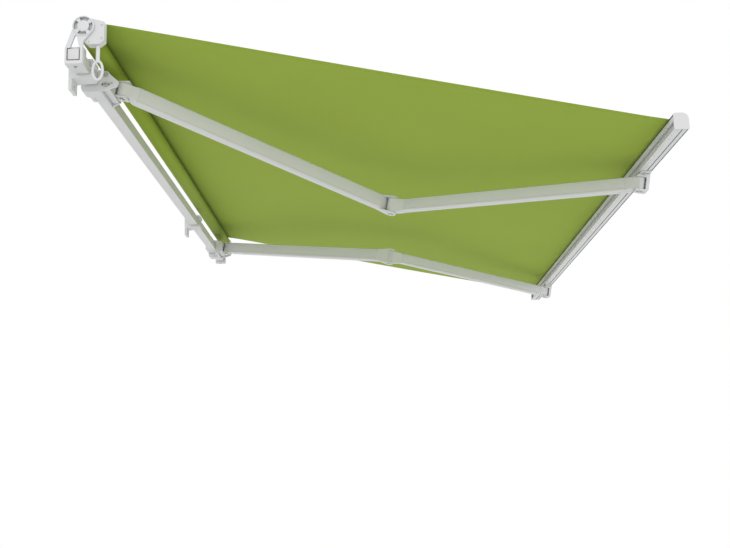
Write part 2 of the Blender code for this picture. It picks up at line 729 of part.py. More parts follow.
inner_cheek_outline = circle(tilt_bolt, TILT_EDGE, 7, math.radians(90), math.radians(90)) + [
    (inner_front, -INNER_CHEEK_DROP),
    (cheek_root, clamp_bottom),
    (cheek_root, tilt_bolt[1] + TILT_EDGE),
]
tilt_sweep = math.radians(TILT_SLOT_DEGREES)
tilt_slot = curved_slot(tilt_bolt, TILT_SLOT_RADIUS, TILT_BOLT_RADIUS, math.radians(-97), tilt_sweep)
lock_bolt = circle(tilt_bolt, TILT_SLOT_RADIUS, 1, math.radians(-90))[0]
eye_room = SHOULDER_EYE_RADIUS + RUNNING_GAP
web_front = shoulder_y + eye_room * math.cos(ARM_SLOPE) + SHOULDER_EYE_HEIGHT / 2 * math.sin(ARM_SLOPE)
web_outline = [
    (clamp_front - RUNNING_GAP, tilt_bolt[1] + TILT_BLOCK_EDGE),
    (web_front, tilt_bolt[1] + TILT_BLOCK_EDGE),
    (web_front, lock_bolt[1] - TILT_BLOCK_EDGE),
    (clamp_front - RUNNING_GAP, lock_bolt[1] - TILT_BLOCK_EDGE),
]
fork_inner = SHOULDER_EYE_HEIGHT / 2 + RUNNING_GAP
fork_outer = shoulder_fork_height / 2
fork_back = eye_room
fork_outline = [
    (-SHOULDER_EYE_RADIUS, -fork_outer),
    (fork_back + FORK_WEB_DEPTH, -fork_outer + FORK_TAPER),
    (fork_back + FORK_WEB_DEPTH, fork_outer - FORK_TAPER),
    (-SHOULDER_EYE_RADIUS, fork_outer),
    (-SHOULDER_EYE_RADIUS, fork_inner),
    (fork_back, fork_inner),
    (fork_back, -fork_inner),
    (-SHOULDER_EYE_RADIUS, -fork_inner),
]
for side, sign in sides:
    cheek_outer = sign * (half_width - CLAMP_OUTER_INSET)
    cheek_inner = cheek_outer - sign * CLAMP_WIDTH
    bracket = piece(
        "shoulder_bracket_" + side,
        prism(clamp_outline, cheek_outer, cheek_inner),
        paint("shoulder_bracket_" + side),
        awning,
    )
    outer_cheek = prism(cheek_outline, cheek_outer, cheek_outer - sign * CHEEK_THICKNESS)
    inner_cheek = prism(inner_cheek_outline, cheek_inner, cheek_inner + sign * CHEEK_THICKNESS)
    join(bracket, tool("outer_cheek_" + side, outer_cheek, awning))
    join(bracket, tool("inner_cheek_" + side, inner_cheek, awning))
    cut(bracket, bar_hole)
    through = (cheek_outer + sign * CUT_OVERRUN, cheek_inner - sign * CUT_OVERRUN)
    bolt_outline = circle(tilt_bolt, TILT_BOLT_RADIUS + GAP, 14)
    bolt_hole = tool("tilt_hole_" + side, prism(bolt_outline, *through), awning)
    part_way = (cheek_outer + sign * CUT_OVERRUN, cheek_outer - sign * CHEEK_THICKNESS * 1.5)
    slot_cutter = tool("tilt_slot_" + side, prism(tilt_slot, *part_way), awning)
    cut(bracket, bolt_hole, slot_cutter)

    web_outer = cheek_outer - sign * (CHEEK_THICKNESS + GAP)
    web_inner = cheek_inner + sign * (CHEEK_THICKNESS + GAP)
    fork = piece(
        "shoulder_fork_" + side,
        prism(web_outline, web_outer, web_inner),
        paint("shoulder_fork_" + side),
        awning,
    )
    lug_middle = sign * shoulder_x
    lugs = prism(fork_outline, lug_middle - SHOULDER_EYE_RADIUS, lug_middle + SHOULDER_EYE_RADIUS)
    join(fork, tool("shoulder_lugs_" + side, lugs, arm_plane))
    lock_end = web_outer - sign * LOCK_BOLT_DEPTH
    lock_outline = circle(lock_bolt, TILT_BOLT_RADIUS, 14)
    lock_hole = tool("lock_hole_" + side, prism(lock_outline, through[0], lock_end), awning)
    pin_outline = circle((lug_middle, 0), PIN_RADIUS + GAP, 16)
    pin_bottom = -fork_outer - CUT_OVERRUN
    pin_top = fork_outer + CUT_OVERRUN
    pin_hole = tool("shoulder_pin_hole_" + side, prism(pin_outline, pin_bottom, pin_top, "Z"), arm_plane)
    cut(fork, bolt_hole, lock_hole, pin_hole)

    bolt_head = cheek_outer + sign * GAP
    bolt_tip = cheek_inner - sign * GAP
    tilt_stations = [
        (bolt_head + sign * TILT_HEAD_HEIGHT, TILT_HEAD_RADIUS),
        (bolt_head, TILT_HEAD_RADIUS),
        (bolt_head, TILT_BOLT_RADIUS),
        (bolt_tip, TILT_BOLT_RADIUS),
        (bolt_tip, TILT_HEAD_RADIUS),
        (bolt_tip - sign * TILT_HEAD_HEIGHT, TILT_HEAD_RADIUS),
    ]
    lock_stations = [
        (bolt_head + sign * TILT_HEAD_HEIGHT, TILT_HEAD_RADIUS),
        (bolt_head, TILT_HEAD_RADIUS),
        (bolt_head, TILT_BOLT_RADIUS - GAP),
        (lock_end + sign * GAP, TILT_BOLT_RADIUS - GAP),
    ]
    piece("tilt_bolt_" + side, turned(tilt_stations, tilt_bolt, "X", 12), steel("tilt_bolt_" + side), awning)
    piece("lock_bolt_" + side, turned(lock_stations, lock_bolt, "X", 12), steel("lock_bolt_" + side), awning)

    pin_stations = [
        (-fork_outer - GAP - PIN_HEAD_HEIGHT, PIN_HEAD_RADIUS),
        (-fork_outer - GAP, PIN_HEAD_RADIUS),
        (-fork_outer - GAP, PIN_RADIUS),
        (fork_outer + PIN_TIP, PIN_RADIUS),
    ]
    piece(
        "shoulder_pin_" + side,
        turned(pin_stations),
        steel("shoulder_pin_" + side),
        arm_plane,
        (sign * shoulder_x, 0.0, 0.0),
    )


# Arms: a hollow profile with a casting pushed into each end
def profile_outline(size, shrink=0.0):
    """An arm profile's outline, or one inside it with the same corner centres."""
    width, height = size
    return rounded_rectangle(width - 2 * shrink, height - 2 * shrink, PROFILE_CORNER - shrink)


def end_points(rotation, origin, distance, size, pin):
    """The profile's end outline in the arm's frame, counted from a pin."""
    turn = Euler(rotation).to_matrix()
    points = []
    for y, z in profile_outline(size):
        points.append(turn @ Vector((distance, y, z)) + Vector(origin) - Vector(pin))
    return points


def eye_points(radius, height, count=20):
    """The two rims of a round eye about its pin."""
    rims = []
    for z in (-height / 2, height / 2):
        rims += [Vector((u, v, z)) for u, v in circle((0, 0), radius, count)]
    return rims


def waist_points(distance, neck_points, width, height):
    """A section between eye and profile, as tall as the eye so that it passes between lugs."""
    neck_middle = sum(neck_points, Vector()) / len(neck_points)
    middle_y = neck_middle.y * distance / neck_middle.x
    corners = rectangle(middle_y - width / 2, -height / 2, middle_y + width / 2, height / 2)
    return [Vector((distance, y, z)) for y, z in corners]


def waisted(near, waist, far):
    """Two convex skins made one, each open at the waist that they share."""
    bm = bmesh.new()
    for end in (near, far):
        skin = hull(end + waist)
        across = [f for f in skin.faces if all(v.co in waist for v in f.verts)]
        bmesh.ops.delete(skin, geom=across, context="FACES_ONLY")
        half = bpy.data.meshes.new("half_skin")
        skin.to_mesh(half)
        skin.free()
        bm.from_mesh(half)
        bpy.data.meshes.remove(half)
    bmesh.ops.remove_doubles(bm, verts=bm.verts[:], dist=1e-6)
    return bm


def arm_end(name, parent, axis_frame, pin, eye, waist, neck_points, insert, size):
    """A casting: an eye drawn into the profile's end, with a plug that enters it."""
    radius, height = eye
    rims = eye_points(radius, height)
    if waist:
        skin = waisted(rims, waist_points(waist, neck_points, size[0], height), neck_points)
    else:
        skin = hull(rims + neck_points)
    body = piece(name, skin, paint(name), parent, pin)
    plug = prism(profile_outline(size, PROFILE_WALL + GAP), *insert)
    join(body, tool(name + "_plug", plug, axis_frame))
    return body


def pin_bore(name, parent, pin, radius, height):
    """A hole for a pin, through an eye or a fork."""
    return tool(name, prism(circle((0, 0), radius, 16), -height, height, "Z"), parent, pin)


def fork_slot_outline(hand):
    """The room that the forearm's eye and neck need inside the elbow fork."""
    room = ELBOW_EYE_RADIUS + RUNNING_GAP
    corner = circle((0, 0), room, 7, math.radians(90), math.radians(-90))
    slot_back = -ELBOW_NECK - CAST_CHAMFER
    outline = corner + [(room, -ELBOW_SLOT_REACH), (slot_back, -ELBOW_SLOT_REACH), (slot_back, GAP)]
    return [(u, hand * v) for u, v in outline]


upper_length = math.hypot(UPPER_ARM_LENGTH, UPPER_OFFSET, ELBOW_DROOP)
upper_pitch = math.asin(ELBOW_DROOP / upper_length)
upper_turn = math.atan2(UPPER_OFFSET, UPPER_ARM_LENGTH)
forearm_length = math.hypot(FOREARM_LENGTH, FOREARM_OFFSET, ELBOW_DROOP)
forearm_pitch = math.asin(ELBOW_DROOP / forearm_length)
forearm_turn = math.atan2(FOREARM_OFFSET, FOREARM_LENGTH)
elbow_pin_location = (UPPER_ARM_LENGTH, 0.0, -ELBOW_DROOP)
wrist_pin_location = (FOREARM_LENGTH, 0.0, ELBOW_DROOP)

for side, sign in sides:
    hand = -sign
    inward = 0.0 if side == "left" else math.pi
    upper_angle = inward + sign * UPPER_ARM_OPEN
    shoulder_place = (sign * shoulder_x, 0.0, 0.0)
    upper_frame = frame_at("upper_arm_frame_" + side, arm_plane, shoulder_place, (0.0, 0.0, upper_angle))
    upper_rotation = (0.0, upper_pitch, hand * upper_turn)
    upper_axis = frame_at("upper_arm_axis_" + side, upper_frame, (0.0, 0.0, 0.0), upper_rotation)
    upper_start = SHOULDER_NECK
    upper_end = upper_length - ELBOW_NECK
    upper_wall = profile_outline(UPPER_PROFILE)
    upper_bore = profile_outline(UPPER_PROFILE, PROFILE_WALL)
    piece(
        "upper_arm_" + side,
        hollow_prism(upper_wall, upper_bore, upper_start, upper_end),
        paint("upper_arm_" + side),
        upper_axis,
    )

    eye = arm_end(
        "shoulder_eye_" + side,
        upper_frame,
        upper_axis,
        (0.0, 0.0, 0.0),
        (SHOULDER_EYE_RADIUS, SHOULDER_EYE_HEIGHT),
        SHOULDER_WAIST,
        end_points(upper_rotation, (0, 0, 0), upper_start - GAP, UPPER_PROFILE, (0, 0, 0)),
        (upper_start - PLUG_OVERLAP, upper_start + PROFILE_INSERT),
        UPPER_PROFILE,
    )
    bore_radius = PIN_RADIUS + GAP
    cut(eye, pin_bore("shoulder_bore_" + side, upper_frame, (0, 0, 0), bore_radius, SHOULDER_EYE_HEIGHT))

    fork = arm_end(
        "elbow_fork_" + side,
        upper_frame,
        upper_axis,
        elbow_pin_location,
        (ELBOW_EYE_RADIUS + RUNNING_GAP, elbow_fork_height),
        None,
        end_points(upper_rotation, (0, 0, 0), upper_end + GAP, UPPER_PROFILE, elbow_pin_location),
        (upper_end - PROFILE_INSERT, upper_end + PLUG_OVERLAP),
        UPPER_PROFILE,
    )
    slot_half_height = ELBOW_EYE_HEIGHT / 2 + RUNNING_GAP
    slot = prism(fork_slot_outline(hand), -slot_half_height, slot_half_height, "Z")
    cut(fork, tool("elbow_slot_" + side, slot, upper_frame, elbow_pin_location))
    cut(fork, pin_bore("fork_bore_" + side, upper_frame, elbow_pin_location, bore_radius, elbow_fork_height))

    elbow_pin_end = elbow_fork_height / 2
    elbow_stations = [
        (-elbow_pin_end - GAP - PIN_HEAD_HEIGHT, PIN_HEAD_RADIUS),
        (-elbow_pin_end - GAP, PIN_HEAD_RADIUS),
        (-elbow_pin_end - GAP, PIN_RADIUS),
        (elbow_pin_end + PIN_TIP, PIN_RADIUS),
    ]
    elbow_pin = turned(elbow_stations)
    piece("elbow_pin_" + side, elbow_pin, steel("elbow_pin_" + side), upper_frame, elbow_pin_location)

    spring_low = upper_start + PROFILE_INSERT + GAP
    coils = []
    for i in range(SPRING_COILS):
        coils.append((spring_low + SPRING_LENGTH * i / SPRING_COILS, SPRING_RADIUS * SPRING_VALLEY))
        coils.append((spring_low + SPRING_LENGTH * (i + 0.5) / SPRING_COILS, SPRING_RADIUS))
    spring_end = spring_low + SPRING_LENGTH
    coils += [
        (spring_end, SPRING_RADIUS * SPRING_VALLEY),
        (spring_end + SPRING_RADIUS, TENSION_ROD_RADIUS),
        (upper_end - PROFILE_INSERT - GAP, TENSION_ROD_RADIUS),
    ]
    piece("arm_spring_" + side, turned(coils, axis="X", count=12), steel("arm_spring_" + side), upper_axis)

    outward = math.pi if side == "left" else 0.0
    forearm_angle = outward - sign * forearm_open
    elbow_place = (sign * elbow_x, -elbow_reach, -ELBOW_DROOP)
    lower_frame = frame_at("forearm_frame_" + side, arm_plane, elbow_place, (0.0, 0.0, forearm_angle))
    forearm_origin = (0.0, hand * FOREARM_OFFSET, 0.0)
    forearm_rotation = (0.0, -forearm_pitch, -hand * forearm_turn)
    forearm_axis = frame_at("forearm_axis_" + side, lower_frame, forearm_origin, forearm_rotation)
    forearm_start = ELBOW_NECK
    forearm_end = forearm_length - WRIST_NECK
    forearm_wall = profile_outline(FOREARM_PROFILE)
    forearm_bore = profile_outline(FOREARM_PROFILE, PROFILE_WALL)
    piece(
        "forearm_" + side,
        hollow_prism(forearm_wall, forearm_bore, forearm_start, forearm_end),
        paint("forearm_" + side),
        forearm_axis,
    )
    elbow_eye = arm_end(
        "elbow_eye_" + side,
        lower_frame,
        forearm_axis,
        (0.0, 0.0, 0.0),
        (ELBOW_EYE_RADIUS, ELBOW_EYE_HEIGHT),
        ELBOW_WAIST,
        end_points(forearm_rotation, forearm_origin, forearm_start - GAP, FOREARM_PROFILE, (0, 0, 0)),
        (forearm_start - PLUG_OVERLAP, forearm_start + PROFILE_INSERT),
        FOREARM_PROFILE,
    )
    cut(elbow_eye, pin_bore("elbow_bore_" + side, lower_frame, (0, 0, 0), bore_radius, ELBOW_EYE_HEIGHT))
    wrist_eye = arm_end(
        "wrist_eye_" + side,
        lower_frame,
        forearm_axis,
        wrist_pin_location,
        (WRIST_EYE_RADIUS, WRIST_EYE_HEIGHT),
        -WRIST_WAIST,
        end_points(forearm_rotation, forearm_origin, forearm_end + GAP, FOREARM_PROFILE, wrist_pin_location),
        (forearm_end - PROFILE_INSERT, forearm_end + PLUG_OVERLAP),
        FOREARM_PROFILE,
    )
    wrist_play = GAP if side == "left" else OPEN_PIVOT_GAP
    wrist_bore = pin_bore(
        "wrist_bore_" + side, lower_frame, wrist_pin_location, PIN_RADIUS + wrist_play, WRIST_EYE_HEIGHT
    )
    cut(wrist_eye, wrist_bore)


# Front bar: a hollow profile, crowned at its front, with open grooves underneath and one for the hem
def front_outline(grooved):
    """The bar's outline, counted forward from its back and up from its bottom."""
    depth = FRONT_BAR_DEPTH
    height = FRONT_BAR_HEIGHT
    points = [(0.0, 0.0)]
    if grooved:
        for low, width in GROOVES:
            high = low + width
            points += [(low, 0.0), (low, GROOVE_DEPTH), (high, GROOVE_DEPTH), (high, 0.0)]
    points += [(depth - FRONT_NOSE_CHAMFER, 0.0), (depth, FRONT_NOSE_CHAMFER)]
    crown_center = (depth - FRONT_CROWN_RISE, height - FRONT_CROWN_RISE)
    points += circle(crown_center, FRONT_CROWN_RISE, 7, 0.0, math.pi / 2)
    points += [(CAST_CHAMFER, height), (0.0, height - CAST_CHAMFER)]
    if grooved:
        mouth = HEM_MOUTH / 2
        pocket_radius = HEM_ROD_RADIUS + GAP
        opening = math.asin(mouth / pocket_radius)
        points.append((0.0, HEM_ROD_RISE + mouth))
        center = (HEM_ROD_INSET, HEM_ROD_RISE)
        points += circle(center, pocket_radius, 15, math.pi - opening, -2 * (math.pi - opening))
        points.append((0.0, HEM_ROD_RISE - mouth))
    return [(front_back_y - u, front_bottom_z + v) for u, v in points]


front_bar_end = half_width - FRONT_CAP_THICKNESS - GAP
front_profile = prism(front_outline(True), -front_bar_end, front_bar_end)
front_bar = piece("front_bar", front_profile, paint("front_bar"), awning)
cavity_low = GROOVE_DEPTH + FRONT_BAR_WALL
cavity_back = HEM_ROD_INSET + HEM_ROD_RADIUS + FRONT_BAR_WALL
cavity_front = FRONT_BAR_DEPTH - FRONT_BAR_WALL
cavity_high = FRONT_BAR_HEIGHT - FRONT_BAR_WALL
cavity = [
    (cavity_back, cavity_low),
    (cavity_front, cavity_low),
    (cavity_front, FRONT_BAR_HEIGHT - FRONT_CROWN_RISE),
    (cavity_front - FRONT_CROWN_RISE / 3, cavity_high - FRONT_CROWN_RISE / 3),
    (FRONT_BAR_DEPTH - FRONT_CROWN_RISE, cavity_high),
    (cavity_back, cavity_high),
]
cavity_outline = [(front_back_y - u, front_bottom_z + v) for u, v in cavity]
cut(front_bar, tool("front_cavity", prism(cavity_outline, -half_width, half_width), awning))
for side, sign in sides:
    cap = prism(front_outline(False), sign * (half_width - FRONT_CAP_THICKNESS), sign * half_width)
    piece("front_bar_cap_" + side, cap, plastic("front_bar_cap_" + side), awning)
hem_rod = prism(circle((hem_y, hem_z), HEM_ROD_RADIUS, 14), -wound_half, wound_half)
piece("hem_rod", hem_rod, plastic("hem_rod"), awning)


# Wrist brackets under the front bar, with their pins and screws
wrist_inner = WRIST_EYE_HEIGHT / 2 + RUNNING_GAP
wrist_outer = wrist_fork_height / 2
wrist_back = WRIST_EYE_RADIUS + RUNNING_GAP
wrist_top = FRONT_BAR_OVER_WRIST - WRIST_BASE_THICKNESS / 2
wrist_outline = [
    (WRIST_EYE_RADIUS, -wrist_outer),
    (WRIST_EYE_RADIUS, -wrist_inner),
    (-wrist_back, -wrist_inner),
    (-wrist_back, wrist_inner),
    (WRIST_EYE_RADIUS, wrist_inner),
    (WRIST_EYE_RADIUS, wrist_outer),
    (FRONT_BAR_BEHIND_WRIST, wrist_top),
    (-wrist_back - WRIST_WEB, wrist_top),
    (-wrist_back - WRIST_WEB, -wrist_outer + WRIST_CHAMFER),
    (-wrist_back - WRIST_WEB + WRIST_CHAMFER, -wrist_outer),
]
base_outline = rectangle(
    front_back_y - FRONT_BAR_DEPTH + WRIST_BASE_INSET,
    front_bottom_z - GAP - WRIST_BASE_THICKNESS,
    front_back_y - WRIST_BASE_INSET,
    front_bottom_z - GAP,
)
wrist_screw_y = front_back_y - WRIST_SCREW_Y
for side, sign in sides:
    middle = sign * wrist_x
    base = prism(base_outline, middle - WRIST_BASE_HALF_WIDTH, middle + WRIST_BASE_HALF_WIDTH)
    bracket = piece("wrist_bracket_" + side, base, paint("wrist_bracket_" + side), awning)
    lugs = prism(wrist_outline, -WRIST_LUG_HALF_WIDTH, WRIST_LUG_HALF_WIDTH)
    wrist_place = (middle, -wrist_reach, 0.0)
    join(bracket, tool("wrist_lugs_" + side, lugs, arm_plane, wrist_place))
    bore_end = wrist_outer + PIN_TIP + RUNNING_GAP
    pin_hole = pin_bore("wrist_pin_hole_" + side, arm_plane, wrist_place, PIN_RADIUS + GAP, bore_end)
    cut(bracket, pin_hole)
    wrist_stations = [
        (-wrist_outer - GAP - PIN_HEAD_HEIGHT, PIN_HEAD_RADIUS),
        (-wrist_outer - GAP, PIN_HEAD_RADIUS),
        (-wrist_outer - GAP, PIN_RADIUS),
        (wrist_outer + PIN_TIP, PIN_RADIUS),
    ]
    piece("wrist_pin_" + side, turned(wrist_stations), steel("wrist_pin_" + side), arm_plane, wrist_place)
    screw_seat = front_bottom_z - GAP - WRIST_BASE_THICKNESS
    center = (middle + sign * WRIST_SCREW_X, wrist_screw_y)
    hole_outline = circle(center, SCREW_RADIUS + GAP, 12)
    hole = prism(hole_outline, screw_seat - CUT_OVERRUN, front_bottom_z + cavity_low + FRONT_BAR_WALL, "Z")
    hole_tool = tool("wrist_screw_hole_" + side, hole, awning)
    cut(bracket, hole_tool)
    cut(front_bar, hole_tool)
    stations = [
        (screw_seat - GAP - SCREW_HEAD_HEIGHT, SCREW_HEAD_RADIUS),
        (screw_seat - GAP, SCREW_HEAD_RADIUS),
        (screw_seat - GAP, SCREW_RADIUS),
        (screw_seat + WRIST_SCREW_LENGTH, SCREW_RADIUS),
    ]
    piece("wrist_screw_" + side, turned(stations, center, count=12), steel("wrist_screw_" + side), awning)


# Canopy: the cloth from the top of the roller to the hem rod
canopy_outer_radius = WOUND_RADIUS + GAP + CANOPY_THICKNESS / 2
canopy_end = Vector((hem_y + HEM_ROD_RADIUS + GAP, hem_z))
from_roller = canopy_end - Vector((roller_y, roller_z))
lead = math.atan2(from_roller.y, from_roller.x) % (2 * math.pi)
tangent_angle = lead - math.acos(canopy_outer_radius / from_roller.length)
upward = Vector((math.cos(tangent_angle), math.sin(tangent_angle)))
canopy_start = Vector((roller_y, roller_z)) + upward * canopy_outer_radius
half_thick = upward * (CANOPY_THICKNESS / 2)
canopy_outline = [
    canopy_start + half_thick,
    canopy_end + half_thick,
    canopy_end - half_thick,
    canopy_start - half_thick,
]
cloth_sheet = prism([tuple(point) for point in canopy_outline], -wound_half, wound_half)
piece("canopy", cloth_sheet, cloth("canopy"), awning)
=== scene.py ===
import json
import math

import bmesh
import bpy
from mathutils import Matrix, Vector


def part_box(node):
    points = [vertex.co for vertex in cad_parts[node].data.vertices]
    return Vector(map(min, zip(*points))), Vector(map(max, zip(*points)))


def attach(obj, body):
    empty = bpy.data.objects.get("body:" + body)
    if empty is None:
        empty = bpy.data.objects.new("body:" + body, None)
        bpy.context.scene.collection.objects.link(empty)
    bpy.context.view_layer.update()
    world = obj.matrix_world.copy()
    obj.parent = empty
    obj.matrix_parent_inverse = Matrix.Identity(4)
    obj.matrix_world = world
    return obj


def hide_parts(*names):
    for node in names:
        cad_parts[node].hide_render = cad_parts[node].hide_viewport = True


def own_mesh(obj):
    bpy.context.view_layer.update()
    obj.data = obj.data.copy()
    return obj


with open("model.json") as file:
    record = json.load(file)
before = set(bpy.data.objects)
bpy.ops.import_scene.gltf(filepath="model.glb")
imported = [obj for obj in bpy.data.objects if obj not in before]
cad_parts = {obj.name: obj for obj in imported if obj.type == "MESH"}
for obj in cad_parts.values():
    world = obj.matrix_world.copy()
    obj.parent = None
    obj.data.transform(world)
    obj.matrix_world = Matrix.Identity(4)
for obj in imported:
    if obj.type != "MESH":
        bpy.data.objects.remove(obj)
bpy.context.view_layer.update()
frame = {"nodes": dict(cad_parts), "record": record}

scene = bpy.context.scene
nodes = frame["nodes"]
record_nodes = frame["record"]["behaviour"]["bodies"]
body_of = {node: body for body, members in record_nodes.items() for node in members}


# Camera
# It stands under the crank end and looks along the wall, a little upwards, as the photograph does.
# Its place and turn come from a fit to the straight edges of the bars, the arms and the cloth.
CAMERA_PLACE = Vector((-3.1128, -0.9368, -1.2918))
CAMERA_YAW = -0.00905
CAMERA_PITCH = 0.194224
CAMERA_ROLL = -0.029431
FOCAL_PIXELS = 1048.0
PICTURE_WIDTH = 730
SENSOR_WIDTH = 36.0
CLIP_NEAR = 0.05
CLIP_FAR = 60.0


def put_in_scene(name, data):
    """A new object at the origin."""
    made = bpy.data.objects.new(name, data)
    scene.collection.objects.link(made)
    return made


level = math.cos(CAMERA_PITCH)
forward = Vector((level * math.cos(CAMERA_YAW), -level * math.sin(CAMERA_YAW), math.sin(CAMERA_PITCH)))
rightward = forward.cross(Vector((0.0, 0.0, 1.0))).normalized()
upward = rightward.cross(forward)
rolled_right = rightward * math.cos(CAMERA_ROLL) + upward * math.sin(CAMERA_ROLL)
rolled_up = upward * math.cos(CAMERA_ROLL) - rightward * math.sin(CAMERA_ROLL)
camera_data = bpy.data.cameras.new("photo_camera")
camera_data.sensor_width = SENSOR_WIDTH
camera_data.lens = FOCAL_PIXELS / PICTURE_WIDTH * SENSOR_WIDTH
camera_data.clip_start = CLIP_NEAR
camera_data.clip_end = CLIP_FAR
camera = put_in_scene("photo_camera", camera_data)
turn = Matrix((rolled_right, rolled_up, -forward)).transposed().to_4x4()
camera.matrix_world = Matrix.Translation(CAMERA_PLACE) @ turn
scene.camera = camera
scene.view_settings.view_transform = "Standard"


# Floor and light
# A pale floor lies far below the awning, and is clear from underneath. A plain white dome lights
# the awning from all round, a wide soft lamp from the front and above, and a weaker one from the
# crank end.
FLOOR_CENTRE = (1.36, -0.9, -2.45)
FLOOR_RADIUS = 7.0
FLOOR_COLOUR = (0.84, 0.84, 0.83, 1.0)
DOME_COLOUR = (1.0, 1.0, 1.0, 1.0)
DOME_LEVEL = 0.80
DOME_SEEN_LEVEL = 1.0
LAMPS = (
    ("soft_key", 0.80, Vector((0.15, 0.50, -0.80))),
    ("soft_side", 0.55, Vector((1.0, 0.16, -0.10))),
)
LAMP_SPREAD = math.radians(50)


def mesh_from(name, bm):
    """The built mesh as mesh data."""
    mesh = bpy.data.meshes.new(name)
    bm.to_mesh(mesh)
    bm.free()
    return mesh


def feed(tree, node, inputs):
    """The node's inputs set to values or linked to other nodes' outputs."""
    for socket, value in inputs.items():
        if isinstance(value, bpy.types.NodeSocket):
            tree.links.new(value, node.inputs[socket])
        else:
            node.inputs[socket].default_value = value


def add_node(tree, kind, inputs=None, **settings):
    """A new node with its settings made and its inputs fed."""
    node = tree.nodes.new(kind)
    for name, value in settings.items():
        setattr(node, name, value)
    feed(tree, node, inputs or {})
    return node


def math_node(tree, operation, *values):
    """The output of a Math node on links or numbers."""
    return add_node(tree, "ShaderNodeMath", dict(enumerate(values)), operation=operation).outputs[0]


floor_bm = bmesh.new()
bmesh.ops.create_circle(floor_bm, cap_ends=True, segments=96, radius=FLOOR_RADIUS)
bmesh.ops.translate(floor_bm, verts=floor_bm.verts[:], vec=FLOOR_CENTRE)
floor = put_in_scene("floor", mesh_from("floor", floor_bm))
floor_paint = bpy.data.materials.new("pale_floor")
floor_paint.use_nodes = True
floor_tree = floor_paint.node_tree
floor_shader = floor_tree.nodes["Principled BSDF"]
feed(floor_tree, floor_shader, {"Base Color": FLOOR_COLOUR, "Roughness": 0.9, "Specular IOR Level": 0.1})
floor_side = add_node(floor_tree, "ShaderNodeNewGeometry")
floor_clear = add_node(floor_tree, "ShaderNodeBsdfTransparent")
floor_mix = add_node(
    floor_tree,
    "ShaderNodeMixShader",
    {
        "Fac": floor_side.outputs["Backfacing"],
        1: floor_shader.outputs["BSDF"],
        2: floor_clear.outputs["BSDF"],
    },
)
feed(floor_tree, floor_tree.nodes["Material Output"], {"Surface": floor_mix.outputs["Shader"]})
floor.data.materials.append(floor_paint)

dome = bpy.data.worlds.new("white_dome")
scene.world = dome
dome.use_nodes = True
dome_tree = dome.node_tree
rays = add_node(dome_tree, "ShaderNodeLightPath")
seen = math_node(dome_tree, "MAXIMUM", rays.outputs["Is Camera Ray"], rays.outputs["Is Glossy Ray"])
seen_through = math_node(dome_tree, "MAXIMUM", seen, rays.outputs["Is Transmission Ray"])
dome_strength = add_node(
    dome_tree,
    "ShaderNodeMapRange",
    {"To Min": DOME_LEVEL, "To Max": DOME_SEEN_LEVEL, "Value": seen_through},
)
dome_light = {"Color": DOME_COLOUR, "Strength": dome_strength.outputs["Result"]}
feed(dome_tree, dome_tree.nodes["Background"], dome_light)

for lamp_name, lamp_level, towards in LAMPS:
    lamp_data = bpy.data.lights.new(lamp_name, "SUN")
    lamp_data.energy = lamp_level
    lamp_data.angle = LAMP_SPREAD
    lamp = put_in_scene(lamp_name, lamp_data)
    lamp.rotation_euler = towards.to_track_quat("-Z", "Y").to_euler()


# Torsion bar
# A square steel tube, rolled with round corners and powder coated in light grey. It carries all
# the brackets. A moulded plug closes each end, a little way in.
COAT_COLOUR = (0.70, 0.705, 0.72)
COAT_TONES = (0.97, 1.03, 1.12)
COAT_ROUGHNESS = 0.42
PLUG_COLOUR = (0.685, 0.683, 0.69)
PLUG_TONES = (0.98, 1.02, 1.05)
CAST_TONES = (0.95, 1.04, 1.12)
# The dark grey-green that coats, plastics and metals take as painted shade in corners and gaps.
CORNER_SHADE_COLOUR = (0.24, 0.25, 0.22, 1.0)
RUB_RANGE = (0.02, 0.16)
SHELTER_RANGE = (0.72, 0.18)
GLOSS_SPREAD = 0.06
GRAIN_STRENGTH = 0.6
MERGE_WITHIN = 1e-5
FLAT_ANGLE = math.radians(0.5)
SHARP_ANGLE = math.radians(34)
BAR_ROUNDING = 0.0020
PLUG_RECESS = 0.009
PLUG_FLANGE = 0.002
PLUG_FACE = 0.0335
PLUG_TAIL_PLAY = 0.003
PLUG_ROUNDING = 0.0005
FLOAT = "NodeSocketFloat"
VECTOR = "NodeSocketVector"


def named_tree(kind, name, inputs, outputs):
    """An empty node tree with named sockets, its input node and its output node."""
    tree = bpy.data.node_groups.new(name, kind)
    for socket, socket_type, value in inputs:
        made = tree.interface.new_socket(socket, in_out="INPUT", socket_type=socket_type)
        if value is not None:
            made.default_value = value
    for socket, socket_type in outputs:
        tree.interface.new_socket(socket, in_out="OUTPUT", socket_type=socket_type)
    return tree, tree.nodes.new("NodeGroupInput"), tree.nodes.new("NodeGroupOutput")


# Shared by coats, plastics and metals: a fine skin, cloudy at hand size and pimpled close up.
skin_grain, grain_in, grain_out = named_tree(
    "ShaderNodeTree",
    "skin_grain",
    [("Cloud Scale", FLOAT, 6.0), ("Grain Scale", FLOAT, 900.0)],
    [("Cloud", FLOAT), ("Grain", FLOAT)],
)
grain_place = add_node(skin_grain, "ShaderNodeTexCoord").outputs["Object"]
for output_name, detail in (("Cloud", 4.0), ("Grain", 2.0)):
    scale = grain_in.outputs[output_name + " Scale"]
    noise = add_node(
        skin_grain, "ShaderNodeTexNoise", {"Detail": detail, "Vector": grain_place, "Scale": scale}
    )
    feed(skin_grain, grain_out, {output_name: noise.outputs["Fac"]})

